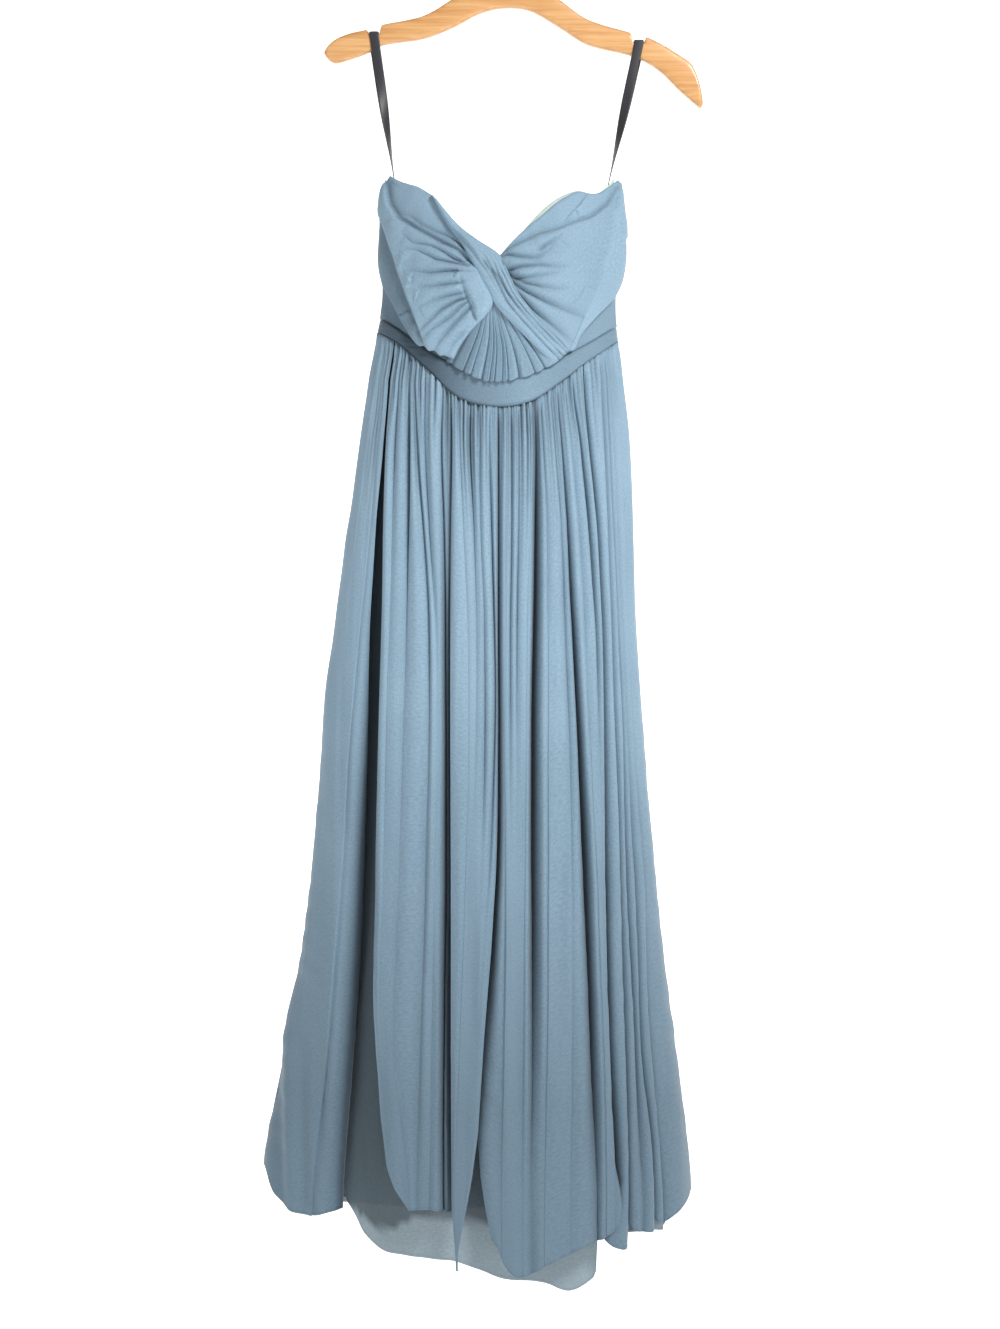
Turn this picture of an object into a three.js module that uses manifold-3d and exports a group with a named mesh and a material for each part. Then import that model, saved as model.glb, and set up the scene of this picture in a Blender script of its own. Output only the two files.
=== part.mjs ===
// A long gown with a twisted bodice and a gathered, panelled skirt, hanging by two ribbon loops from a wooden hanger.
import * as THREE from "three";
import { mergeVertices } from "three/addons/utils/BufferGeometryUtils.js";
import Module from "manifold-3d";

const wasm = await Module();
wasm.setup();

// Sizes are in millimetres: X to the right of the front, Y to the back, Z up. The hook hangs at the origin.
const WALL = 1.2;
const SEAM = 0.3;
const CENTRE_X = -6;
const EYE = { x: -7, z: -911, far: 2400 };
const LINING_OUT = -5;
const SIDE_OUT = -2.2;
const CUP_OUT = -0.4;
const BAND_OUT = -1.6;
const UNDER_ROWS = [
  { v: 0, out: -5 }, { v: 0.035, out: -14 }, { v: 0.15, out: -25 }, { v: 0.4, out: -34 }, { v: 0.7, out: -35 },
  { v: 1, out: -34 },
];
const RIBBON = { width: 11, thick: 1, legs: 14 };
const HOOK = { wire: 1.8, inner: 20, sides: 4, steps: 44, foot: -83.4 };
const HANGER = { thick: 12, edge: 3, steps: 38 };
const COLUMN = 7.5;
const ZIP = { top: -422, bottom: -640, tape: 20 };
const SLIDER = { below: 8, wide: 5, tall: 9, base: 1.6, bridge: 1.6, lift: 5, off: 0.9 };
const PULL = { wide: 5.4, tall: 24, thick: 1, window: 2.7, ring: 1 };

// The dress at each height: half width to each side of the centre line, and depth before and behind the side seams.
const SECTIONS = [
  { z: -318, left: 137, right: 139, front: 36, back: 28 },
  { z: -348, left: 144, right: 143, front: 44, back: 34 },
  { z: -378, left: 142, right: 144, front: 52, back: 40 },
  { z: -414, left: 146, right: 146, front: 60, back: 46 },
  { z: -462, left: 141, right: 138, front: 66, back: 52 },
  { z: -486, left: 143, right: 136, front: 66, back: 54 },
  { z: -510, left: 149, right: 140, front: 66, back: 56 },
  { z: -572, left: 160, right: 148, front: 68, back: 60 },
  { z: -630, left: 168, right: 154, front: 72, back: 65 },
  { z: -714, left: 179, right: 158, front: 78, back: 72 },
  { z: -786, left: 190, right: 160, front: 84, back: 78 },
  { z: -858, left: 199, right: 162, front: 90, back: 84 },
  { z: -954, left: 212, right: 169, front: 98, back: 92 },
  { z: -1074, left: 220, right: 178, front: 108, back: 102 },
  { z: -1170, left: 228, right: 188, front: 116, back: 110 },
  { z: -1266, left: 243, right: 197, front: 123, back: 118 },
  { z: -1386, left: 262, right: 212, front: 132, back: 128 },
  { z: -1465, left: 278, right: 224, front: 137, back: 134 },
  { z: -1530, left: 288, right: 230, front: 141, back: 138 },
  { z: -1662, left: 299, right: 235, front: 146, back: 144 },
];

// Edges of the front pieces as they look from the front, [x, z], from left to right or from top to bottom.
const NECK_LEFT = [[-144, -326], [-116, -336], [-95, -342], [-79, -358], [-58, -384], [-35, -404], [-8, -421]];
const NECK_RIGHT = [[-8, -421], [4, -412], [26, -384], [56, -355], [85, -342], [109, -346], [125, -336], [134, -328]];
const WAIST = [
  [-155, -513], [-128, -528], [-94, -558], [-58, -590], [-13, -601], [29, -595], [66, -572], [98, -548], [136, -524],
];
const BAND_TOP = [
  [-153, -496], [-128, -511], [-89, -542], [-53, -565], [-13, -574], [35, -565], [60, -554], [98, -529], [136, -505],
];
const CUP_LEFT = {
  top: [[-146, -329], [-116, -337], [-104, -340], [-90, -349]],
  right: [[-90, -349], [-71, -384], [-53, -409], [-42, -430], [-28, -458], [-23, -476], [-37, -499], [-65, -543]],
  bottom: [[-147, -457], [-138, -474], [-124, -502], [-110, -523], [-87, -541], [-65, -543]],
  left: [[-146, -329], [-150, -354], [-147, -380], [-151, -420], [-147, -457]],
};
const CUP_RIGHT = {
  top: [[2, -415], [13, -401], [26, -387], [42, -378], [58, -365], [72, -353], [86, -346], [109, -348], [132, -331]],
  right: [[132, -331], [136, -361], [140, -388], [142, -428], [138, -446], [127, -474]],
  bottom: [[74, -536], [81, -534], [86, -522], [94, -510], [109, -493], [127, -474]],
  left: [[2, -415], [0.5, -444], [14, -470], [37, -499], [57, -518], [74, -536]],
};
const TWIST = {
  top: [[-88, -349], [-83, -353]],
  right: [[-83, -353], [-58, -384], [-35, -404], [-10, -422], [-1, -444], [12, -470], [35, -500], [55, -520], [72, -537]],
  bottom: [[58, -551], [72, -537]],
  left: [[-88, -349], [-70, -384], [-52, -409], [-40, -431], [-26, -457], [-10, -484], [16, -512], [43, -539], [58, -551]],
};
const FAN = {
  top: [[-21, -479], [-10, -489]],
  right: [[-10, -489], [52, -556]],
  bottom: [[-63, -549], [-53, -563], [-30, -573], [-13, -577], [2, -575], [32, -568], [52, -556]],
  left: [[-21, -479], [-36, -501], [-63, -549]],
};
const SIDE_LEFT_TOP = [[-148, -428], [-115, -462], [-79, -504], [-69, -520], [-60, -538]];
const SIDE_RIGHT_TOP = [[64, -544], [74, -528], [95, -486], [119, -456], [142, -428]];

// Heights at which the fold tables give each fold's place and depth.
const STATIONS = [-570, -642, -738, -858, -1002, -1170, -1362, -1554];

// Front skirt panels: a row for each valley, with its x and depth at the stations and the hem's height there.
const SKIRT = {
  skirt_left: [
    { x: [-166, -175, -188, -205, -222, -236, -264, -293], deep: [0, 0, 0, 0, 0, 0, 0, 0], hem: -1530 },
    { x: [-158, -167, -178, -191, -205, -221, -240, -259], deep: [1, 2, 4, 6, 8, 9, 10, 12], hem: -1566 },
    { x: [-151, -157, -164, -174, -187, -199, -214, -233], deep: [1, 2, 4, 6, 7, 8, 10, 12], hem: -1576 },
    { x: [-144, -148, -152, -158, -164, -170, -178, -196], deep: [4, 8, 12, 16, 20, 24, 28, 26], hem: -1560 },
  ],
  skirt_front_left: [
    { x: [-143, -147, -151, -157, -163, -169, -177, -158], deep: [4, 8, 12, 16, 20, 24, 28, 22], hem: -1506 },
    { x: [-132, -136, -138, -140, -144, -147, -149, -128], deep: [4, 4, 2, 1, 1, 2, 3, 2], hem: -1554 },
    { x: [-115, -118, -118, -121, -125, -132, -136, -118], deep: [5, 5, 5, 5, 4, 4, 5, 3], hem: -1567 },
    { x: [-100, -102, -101, -97, -95, -97, -104, -109], deep: [5, 5, 6, 7, 7, 8, 9, 8], hem: -1570 },
    { x: [-79, -76, -79, -78, -76, -76, -78, -80], deep: [5, 6, 7, 8, 10, 12, 14, 12], hem: -1567 },
    { x: [-68, -64, -67, -67, -67, -67, -67, -67], deep: [5, 8, 12, 16, 20, 24, 26, 24], hem: -1570 },
  ],
  skirt_centre: [
    { x: [-67.4, -63.4, -66.4, -66.4, -66.4, -66.4, -66.4, -66.4], deep: [5, 8, 12, 16, 20, 24, 26, 24], hem: -1614 },
    { x: [-48, -41, -42, -36, -36, -41, -48, -59], deep: [4, 4, 5, 6, 6, 5, 4, 3], hem: -1640 },
    { x: [-31, -30, -29, -26, -25, -29, -38, -50], deep: [4, 3, 1, 1, 1, 2, 3, 2], hem: -1572 },
    { x: [-18, -17, -17, -16, -16, -19, -31, -44], deep: [4, 4, 4, 4, 4, 4, 4, 3], hem: -1540 },
    { x: [-6, -2.4, -6, -6, -8, -11, -23, -38], deep: [4, 8, 12, 14, 16, 16, 12, 6], hem: -1504 },
  ],
  skirt_front_right: [
    { x: [-5.4, -1.8, -5.4, -5.4, -7.4, -10.4, -22.4, -27.5], deep: [4, 8, 12, 14, 16, 16, 12, 6], hem: -1572 },
    { x: [7, 7, 6, 3, 3, 0, -5, -7], deep: [4, 4, 3, 2, 1, 1, 2, 2], hem: -1636 },
    { x: [15, 16, 16, 14, 14, 12, 10, 7], deep: [3, 4, 4, 3, 2, 2, 3, 3], hem: -1646 },
    { x: [24, 28, 29, 28, 26, 24, 20, 17], deep: [4, 4, 2, 1, 1, 1, 1, 1], hem: -1649 },
    { x: [38, 38, 38, 38, 38, 35, 31, 30], deep: [5, 8, 10, 12, 14, 13, 10, 6], hem: -1644 },
    { x: [47, 53, 56, 59, 61, 60, 55, 52], deep: [4, 4, 3, 1, 1, 1, 2, 2], hem: -1630 },
    { x: [55, 61, 68, 74, 79, 79, 77, 74], deep: [4, 4, 5, 6, 5, 2, 2, 2], hem: -1616 },
    { x: [63, 70, 77, 85, 90, 95, 101, 103], deep: [4, 5, 6, 8, 12, 15, 14, 9], hem: -1602 },
    { x: [72, 79, 89, 97, 104, 108, 112, 115], deep: [4, 3, 3, 4, 3, 2, 2, 2], hem: -1596 },
    { x: [82, 91, 102, 109, 114, 116, 120, 127], deep: [4, 5, 6, 4, 2, 2, 2, 2], hem: -1591 },
    { x: [96, 102, 112, 119, 122, 124, 126, 144], deep: [4, 7, 10, 12, 14, 16, 18, 14], hem: -1568 },
  ],
  skirt_right: [
    { x: [96.8, 102.8, 112.8, 120, 123.2, 125.6, 128.6, 148], deep: [4, 7, 10, 12, 14, 16, 18, 14], hem: -1608 },
    { x: [118, 121, 125, 132, 136, 141, 146, 156], deep: [3, 4, 5, 6, 8, 9, 9, 9], hem: -1590 },
    { x: [129, 132, 136, 141, 149, 162, 167, 181], deep: [1, 2, 2, 3, 5, 7, 9, 9], hem: -1577 },
    { x: [136, 140, 145, 149, 158, 171, 182, 200], deep: [0, 1, 1, 2, 3, 5, 8, 8], hem: -1582 },
    { x: [143, 148, 154, 157, 166, 180, 202, 224], deep: [0, 0, 0, 0, 0, 0, 0, 0], hem: -1564 },
  ],
};
const SKIRT_ROWS = [0, 0.03, 0.08, 0.16, 0.27, 0.4, 0.55, 0.7, 0.86, 1];
const RIDGE_STEPS = 3;

// Back half: heights at the side seams and at the centre back, and the gathers of the back skirt.
const BACK = { neckSide: -329, neckMid: -420, bandMid: -506, waistMid: -530, hemMid: -1596, folds: 9, deep: 15 };
const SEAM_SIDE = { left: [-329, -496, -513, -1530], right: [-331, -505, -524, -1564] };

// Under-layer: its hem's height at angles from the left side, through the centre front at 0, and round the back.
const UNDER_HEM = [
  [-90, -1525], [-45, -1540], [-28, -1588], [0, -1614], [24, -1630], [34, -1612], [46, -1574], [90, -1560],
  [180, -1592], [270, -1525],
];

// Hanger arms: upper and lower edge at each x; the two notches that keep the loops in place.
const ARM = [
  { x: -218, top: -175, low: -181 }, { x: -206, top: -163, low: -190 }, { x: -188, top: -155, low: -186 },
  { x: -166, top: -150, low: -178 }, { x: -146, top: -144, low: -168 }, { x: -100, top: -134, low: -161 },
  { x: -65, top: -114, low: -148 }, { x: -30, top: -91, low: -130 }, { x: 0, top: -84, low: -124 },
  { x: 30, top: -91, low: -128 }, { x: 65, top: -115, low: -148 }, { x: 98, top: -138, low: -168 },
  { x: 146, top: -153, low: -180 }, { x: 168, top: -159, low: -189 }, { x: 187, top: -168, low: -202 },
  { x: 205, top: -179, low: -220 }, { x: 224, top: -194, low: -237 }, { x: 236, top: -228, low: -247 },
];
const NOTCH = [{ x: -158, wide: 15, floor: -155 }, { x: 159, wide: 16, floor: -165 }];
const LOOPS = [
  { name: "loop_left", top: [-158, -155], low: [-134, -336], side: 1 },
  { name: "loop_right", top: [159, -165], low: [123, -338], side: -1 },
];

const COLOURS = { cloth: "#8fa9bb", under: "#9fb0bb", lining: "#c5d9d5", wood: "#e9b075", ribbon: "#2f2f30",
  steel: "#c9cbcc", zip: "#8496a5" };

const clamp = THREE.MathUtils.clamp;
const lerp = THREE.MathUtils.lerp;
const root = new THREE.Group();

// Adds a named mesh with its own material.
function piece(name, geometry, colour, roughness = 0.9, metalness = 0) {
  const mesh = new THREE.Mesh(geometry, new THREE.MeshStandardMaterial({ color: colour, roughness, metalness }));
  mesh.name = name;
  root.add(mesh);
  return mesh;
}

// Value of a list at a fraction from 0 to 1 of its length.
function along(list, t) {
  const s = clamp(t, 0, 1) * (list.length - 1);
  const i = Math.min(Math.floor(s), list.length - 2);
  return lerp(list[i], list[i + 1], s - i);
}

// Point of a polyline at a fraction of its rows.
function onEdge(edge, t) {
  return [along(edge.map((p) => p[0]), t), along(edge.map((p) => p[1]), t)];
}

// Height of a line of [x, z] points at x.
function heightAt(line, x) {
  const i = clamp(line.findIndex((p) => p[0] > x) - 1, 0, line.length - 2);
  const last = x >= line[line.length - 1][0];
  const [a, b] = last ? line.slice(-2) : [line[i], line[i + 1]];
  return lerp(a[1], b[1], clamp((x - a[0]) / (b[0] - a[0]), 0, 1));
}

// A size of the dress at a height, from the rows of SECTIONS.
function sectionAt(key, z) {
  const i = clamp(SECTIONS.findIndex((s) => s.z < z) - 1, 0, SECTIONS.length - 2);
  const k = z <= SECTIONS[SECTIONS.length - 1].z ? SECTIONS.length - 2 : i;
  const a = SECTIONS[k];
  const b = SECTIONS[k + 1];
  return lerp(a[key], b[key], clamp((z - a.z) / (b.z - a.z), 0, 1));
}

// Point on the dress at an angle from the centre front, a height, and a distance out from the measured skin.
function skin(angle, z, out = 0) {
  const w = sectionAt(Math.sin(angle) < 0 ? "left" : "right", z);
  const d = sectionAt(Math.cos(angle) > 0 ? "front" : "back", z);
  const n = new THREE.Vector2(Math.sin(angle) / w, -Math.cos(angle) / d).normalize();
  return new THREE.Vector3(
    CENTRE_X + w * Math.sin(angle) + n.x * out,
    -d * Math.cos(angle) + n.y * out,
    z,
  );
}

// Point on the front of the dress that looks to be at x, z from the eye; it stops at the side seams.
function seen(x, z, out = 0) {
  let depth = 0;
  let angle = 0;
  let height = z;
  for (let i = 0; i < 8; i++) {
    const near = 1 + depth / EYE.far;
    height = EYE.z + (z - EYE.z) * near;
    const dx = EYE.x + (x - EYE.x) * near - CENTRE_X;
    const front = sectionAt("front", height);
    const edge = Math.PI / 2 - SEAM / 2 / front;
    angle = clamp(Math.asin(clamp(dx / sectionAt(dx < 0 ? "left" : "right", height), -1, 1)), -edge, edge);
    depth = -front * Math.cos(angle);
  }
  return skin(angle, height, out);
}

// Triangles of a closed wall from a grid of outer points and the same grid further in.
function wall(nu, nv, at, thick = WALL, closed = false) {
  const cols = closed ? nu : nu + 1;
  const count = cols * (nv + 1);
  const points = [];
  for (const sunk of [0, thick])
    for (let j = 0; j <= nv; j++)
      for (let i = 0; i < cols; i++) points.push(at(i / nu, j / nv, -sunk, i, j));
  const id = (i, j) => j * cols + (i % cols);
  const faces = [];
  const quad = (a, b, c, d) => faces.push(a, b, c, a, c, d);
  for (let j = 0; j < nv; j++)
    for (let i = 0; i < nu; i++) {
      const [a, b, c, d] = [id(i, j), id(i + 1, j), id(i + 1, j + 1), id(i, j + 1)];
      quad(a, d, c, b);
      quad(a + count, b + count, c + count, d + count);
    }
  const rim = (a, b) => quad(a, b, b + count, a + count);
  for (let i = 0; i < nu; i++) {
    rim(id(i, 0), id(i + 1, 0));
    rim(id(i + 1, nv), id(i, nv));
  }
  for (let j = 0; j < nv && !closed; j++) {
    rim(id(nu, j), id(nu, j + 1));
    rim(id(0, j + 1), id(0, j));
  }
  return geometry(points, faces);
}

function geometry(points, faces) {
  const flat = new Float32Array(points.length * 3);
  points.forEach((p, i) => p.toArray(flat, i * 3));
  const made = new THREE.BufferGeometry();
  made.setAttribute("position", new THREE.BufferAttribute(flat, 3));
  made.setIndex(faces);
  made.computeVertexNormals();
  return made;
}

// Place inside four edges, at fractions u across and v down.
function inside(edges, u, v) {
  const [top, low] = [onEdge(edges.top, u), onEdge(edges.bottom, u)];
  const [left, right] = [onEdge(edges.left, v), onEdge(edges.right, v)];
  const corner = [edges.top[0], edges.top[edges.top.length - 1], edges.bottom[0], edges.bottom[edges.bottom.length - 1]];
  return [0, 1].map((k) => {
    const flat = lerp(lerp(corner[0][k], corner[1][k], u), lerp(corner[2][k], corner[3][k], u), v);
    return lerp(top[k], low[k], v) + lerp(left[k], right[k], u) - flat;
  });
}

// Rounded folds with narrow valleys: 0 on a ridge and -1 in a valley, count folds from 0 to 1.
function folds(t, count) {
  const f = (t * count) % 1;
  return -Math.pow(Math.abs(2 * f - 1), 3);
}

// Bodice pieces that lie over the lining.
function patch(name, edges, nu, nv, relief, colour = COLOURS.cloth) {
  piece(name, wall(nu, nv, (u, v, sunk) => {
    const [x, z] = inside(edges, u, v);
    return seen(x, z, sunk + relief(u, v));
  }), colour);
}

// Height, as it looks from the front, of a line where it crosses the column at an angle.
function reach(line, angle) {
  const xAt = (z) => CENTRE_X + sectionAt(angle < 0 ? "left" : "right", z) * Math.sin(angle);
  const z = heightAt(line, xAt(heightAt(line, xAt(line[0][1]))));
  return [xAt(z), z];
}

// Bodice pieces in upright columns between two angles in degrees, from one line down to another.
function columns(name, from, to, nv, topLine, lowLine, out, colour = COLOURS.cloth) {
  const nu = Math.round((to - from) / COLUMN);
  piece(name, wall(nu, nv, (u, v, sunk) => {
    const angle = THREE.MathUtils.degToRad(lerp(from, to, u));
    const [x0, z0] = reach(topLine, angle);
    const [x1, z1] = reach(lowLine, angle);
    return seen(lerp(x0, x1, v), lerp(z0 - SEAM / 2, z1 + SEAM / 2, v), sunk + out);
  }), colour);
}

function bodice() {
  columns("bodice_lining", -90, 90, 8, [...NECK_LEFT, ...NECK_RIGHT.slice(1)], WAIST, LINING_OUT, COLOURS.lining);
  columns("band_front", -90, 90, 3, BAND_TOP, WAIST, BAND_OUT);
  columns("bodice_side_left", -90, -22.5, 4, SIDE_LEFT_TOP, BAND_TOP, SIDE_OUT);
  columns("bodice_side_right", 30, 90, 4, SIDE_RIGHT_TOP, BAND_TOP, SIDE_OUT);
  const cup = (u, v) => CUP_OUT + 3 + 2.4 * folds(v, 7) * Math.sin(Math.PI * clamp(u, 0.12, 1));
  patch("cup_left", CUP_LEFT, 8, 28, (u, v) => cup(u, v));
  patch("cup_right", CUP_RIGHT, 9, 28, (u, v) => cup(1 - u, v));
  patch("twist_band", TWIST, 9, 18, (u) => 2.5 + 6 * Math.sin(Math.PI * u) + 1.5 * folds(u, 3));
  patch("fan", FAN, 36, 4, (u, v) => BAND_OUT + SEAM + WALL + v * (1 + folds(u, 12)) + 2 * (1 - v));
}

// A fold row's x or depth at a height.
function atStation(list, z) {
  const k = clamp(STATIONS.findIndex((s) => s < z) - 1, 0, STATIONS.length - 2);
  const i = z <= STATIONS[STATIONS.length - 1] ? STATIONS.length - 2 : k;
  return lerp(list[i], list[i + 1], clamp((z - STATIONS[i]) / (STATIONS[i + 1] - STATIONS[i]), 0, 1));
}

// A gathered panel of the front skirt, from the waist seam to its hem.
function skirtPanel(name, rows) {
  const nu = (rows.length - 1) * RIDGE_STEPS;
  const nv = SKIRT_ROWS.length - 1;
  const at = (u, v, sunk, i, j) => {
    const k = Math.min(Math.floor(i / RIDGE_STEPS), rows.length - 2);
    const f = i / RIDGE_STEPS - k;
    const xAt = (z) => {
      const x = lerp(atStation(rows[k].x, z), atStation(rows[k + 1].x, z), f);
      const side = x < CENTRE_X ? "left" : "right";
      const narrow = z > STATIONS[0] ? sectionAt(side, z) / sectionAt(side, STATIONS[0]) : 1;
      return lerp(CENTRE_X, x, narrow);
    };
    const top = heightAt(WAIST, xAt(heightAt(WAIST, xAt(STATIONS[0])))) - SEAM;
    const hem = lerp(rows[k].hem, rows[k + 1].hem, f);
    const z = lerp(top, hem, SKIRT_ROWS[j]);
    const down = clamp(SKIRT_ROWS[j] / SKIRT_ROWS[2], 0.3, 1);
    const deep = atStation(rows[k].deep, z) * (1 - f) ** 3 + atStation(rows[k + 1].deep, z) * f ** 3;
    return seen(xAt(z), z, sunk - down * deep);
  };
  piece(name, wall(nu, nv, at), COLOURS.cloth);
}

// A piece of the back half: k is 0 at the side seam and 1 at the centre back.
function backPiece(name, left, nu, nv, topAt, lowAt, relief, colour = COLOURS.cloth) {
  const side = SEAM_SIDE[left ? "left" : "right"];
  piece(name, wall(nu, nv, (u, v, sunk) => {
    const k = left ? 1 - u : u;
    const z = lerp(topAt(side, k), lowAt(side, k), v);
    const depth = sectionAt("back", z);
    const width = sectionAt(left ? "left" : "right", z);
    const turn = lerp(Math.PI / 2 + SEAM / 2 / depth, Math.PI - SEAM / width, k);
    return skin(left ? -turn : turn, z, sunk + relief(k, v, z));
  }), colour);
}

function back() {
  const ease = (k) => Math.sin((k * Math.PI) / 2);
  for (const left of [true, false]) {
    const end = left ? "left" : "right";
    const neck = (side, k) => lerp(side[0], BACK.neckMid, ease(k));
    const band = (side, k) => lerp(side[1], BACK.bandMid, ease(k));
    const waist = (side, k) => lerp(side[2], BACK.waistMid, ease(k));
    const hem = (side, k) => lerp(side[3], BACK.hemMid, ease(k));
    backPiece("bodice_back_" + end, left, 9, 5, neck, (s, k) => band(s, k) + SEAM, () => CUP_OUT);
    backPiece("band_back_" + end, left, 9, 2, band, (s, k) => waist(s, k) + SEAM, () => CUP_OUT);
    const relief = (k, v, z) => {
      const edge = Math.min(1, k * BACK.folds, (1 - k) * BACK.folds * 2);
      return BACK.deep * Math.min(1, v * 1.4 + 0.16) * folds(k, BACK.folds) * edge;
    };
    backPiece("skirt_back_" + end, left, BACK.folds * 3, 8, waist, hem, relief);
  }
}

// Height of the waist seam at an angle, all round.
function waistHeight(angle) {
  if (Math.cos(angle) > 0) return seen(...reach(WAIST, angle)).z;
  const side = SEAM_SIDE[Math.sin(angle) < 0 ? "left" : "right"];
  return lerp(side[2], BACK.waistMid, -Math.cos(angle));
}

// The long sheer layer inside the skirt, all round.
function underLayer() {
  piece("skirt_under", wall(48, UNDER_ROWS.length - 1, (u, v, sunk, i, j) => {
    const degrees = 360 * u - 90;
    const angle = THREE.MathUtils.degToRad(degrees);
    const row = UNDER_ROWS[j];
    const z = lerp(waistHeight(angle) - SEAM, heightAt(UNDER_HEM, degrees), row.v);
    return skin(angle, z, sunk + row.out + 3 * row.v * Math.sin(26 * angle));
  }, WALL, true), COLOURS.under);
}

// A flat band through a list of places; turn is the angle of its width about the vertical.
function ribbon(name, stops) {
  const points = stops.flatMap((s, i) => {
    const ahead = stops[Math.min(i + 1, stops.length - 1)].at;
    const behind = stops[Math.max(i - 1, 0)].at;
    const way = new THREE.Vector3().subVectors(ahead, behind).normalize();
    const wide = new THREE.Vector3(Math.cos(s.turn), Math.sin(s.turn), 0);
    wide.addScaledVector(way, -wide.dot(way)).normalize().multiplyScalar(RIBBON.width / 2);
    const thick = new THREE.Vector3().crossVectors(way, wide).normalize().multiplyScalar(RIBBON.thick / 2);
    return [[-1, -1], [1, -1], [1, 1], [-1, 1]].map(([w, t]) =>
      s.at.clone().addScaledVector(wide, w).addScaledVector(thick, t));
  });
  const faces = [];
  const last = points.length - 4;
  for (let k = 0; k < last; k += 4)
    for (let c = 0; c < 4; c++) {
      const [a, b] = [k + c, k + ((c + 1) % 4)];
      faces.push(a, b, b + 4, a, b + 4, a + 4);
    }
  faces.push(0, 2, 1, 0, 3, 2, last, last + 1, last + 2, last, last + 2, last + 3);
  piece(name, geometry(points, faces), COLOURS.ribbon, 0.5);
}

function loops() {
  const reach = HANGER.thick / 2 + SEAM + RIBBON.thick / 2;
  for (const loop of LOOPS) {
    const leg = (front) => Array.from({ length: RIBBON.legs + 1 }, (_, i) => {
      const t = i / RIBBON.legs;
      const s = THREE.MathUtils.smoothstep(t, 0, 0.82);
      const apart = (front ? 1 : -1) * 0.8 * loop.side;
      return {
        at: new THREE.Vector3(
          lerp(loop.low[0] + apart, loop.top[0], t),
          lerp(0, front ? -reach : reach, clamp(t * 1.25, 0, 1)),
          lerp(loop.low[1], loop.top[1] - 3, t),
        ),
        turn: lerp((loop.side * Math.PI) / 2, 0, s),
      };
    });
    const over = [[-reach, 0.2], [0.6 - reach, 0.8], [0, 0.8], [reach - 0.6, 0.8], [reach, 0.2]];
    const bend = over.map(([y, z]) => ({ at: new THREE.Vector3(loop.top[0], y, loop.top[1] + z), turn: 0 }));
    ribbon(loop.name, [...leg(true), ...bend, ...leg(false).reverse()]);
  }
}

// A three.js geometry as a solid for joining and cutting.
function solid(shape) {
  const bare = shape.index ? shape.toNonIndexed() : shape.clone();
  for (const key of Object.keys(bare.attributes)) if (key !== "position") bare.deleteAttribute(key);
  const merged = mergeVertices(bare, 1e-4);
  return new wasm.Manifold(new wasm.Mesh({
    numProp: 3,
    vertProperties: new Float32Array(merged.attributes.position.array),
    triVerts: new Uint32Array(merged.index.array),
  }));
}

function fromSolid(made) {
  const mesh = made.getMesh();
  const shape = new THREE.BufferGeometry();
  shape.setAttribute("position", new THREE.BufferAttribute(new Float32Array(mesh.vertProperties), 3));
  shape.setIndex(new THREE.BufferAttribute(new Uint32Array(mesh.triVerts), 1));
  shape.computeVertexNormals();
  return shape;
}

function hanger() {
  const xs = ARM.map((r) => new THREE.Vector3(r.x, r.top, r.low));
  const line = new THREE.CatmullRomCurve3(xs, false, "centripetal");
  const y = HANGER.thick / 2;
  const e = HANGER.edge;
  const points = Array.from({ length: HANGER.steps + 1 }, (_, i) => line.getPoint(i / HANGER.steps)).flatMap((p) => {
    const c = Math.min(e, (p.y - p.z) / 4);
    return [[-y, p.z + c], [-y, p.y - c], [c - y, p.y], [y - c, p.y], [y, p.y - c], [y, p.z + c], [y - c, p.z], [c - y, p.z]]
      .map(([py, pz]) => new THREE.Vector3(p.x, py, pz));
  });
  const faces = [];
  const last = points.length - 8;
  for (let k = 0; k < last; k += 8)
    for (let c = 0; c < 8; c++) {
      const [a, b] = [k + c, k + ((c + 1) % 8)];
      faces.push(a, b, b + 8, a, b + 8, a + 8);
    }
  for (let c = 1; c < 7; c++) faces.push(0, c + 1, c, last, last + c, last + c + 1);
  let body = solid(geometry(points, faces));
  if (body.volume() < 0) body = solid(geometry(points, faces.reverse()));
  for (const notch of NOTCH) {
    const box = new THREE.BoxGeometry(notch.wide, HANGER.thick * 2, 40);
    box.translate(notch.x, 0, notch.floor + 20);
    body = body.subtract(solid(box));
  }
  piece("hanger_body", fromSolid(body), COLOURS.wood, 0.4);
  hook();
}

function hook() {
  const r = HOOK.inner + HOOK.wire;
  const stem = [[0, HOOK.foot], [0, -66], [1, -56], [5, -47]].map(([x, z]) => new THREE.Vector3(x, 0, z));
  const ring = Array.from({ length: 15 }, (_, i) => {
    const a = THREE.MathUtils.degToRad(-50 + i * 18);
    return new THREE.Vector3(r * Math.cos(a), 0, r * Math.sin(a) - HOOK.inner);
  });
  const shape = new THREE.Shape();
  shape.absarc(0, 0, HOOK.wire, 0, 2 * Math.PI, false);
  const path = new THREE.CatmullRomCurve3([...stem, ...ring]);
  const wire = new THREE.ExtrudeGeometry(shape, {
    steps: HOOK.steps, curveSegments: HOOK.sides, bevelEnabled: false, extrudePath: path,
  });
  piece("hanger_hook", wire, COLOURS.steel, 0.3, 1);
}

// A plate with a window, or a block, drawn in X and Z and given its depth along Y.
function plate(outline, hole, thick) {
  const shape = new THREE.Shape(outline.map(([x, z]) => new THREE.Vector2(x, z)));
  if (hole) shape.holes.push(new THREE.Path(hole.map(([x, z]) => new THREE.Vector2(x, z))));
  const made = new THREE.ExtrudeGeometry(shape, { depth: thick, bevelEnabled: false });
  made.rotateX(Math.PI / 2);
  return made;
}

function rectangle(x0, z0, x1, z1) {
  return [[x0, z0], [x1, z0], [x1, z1], [x0, z1]];
}

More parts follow.
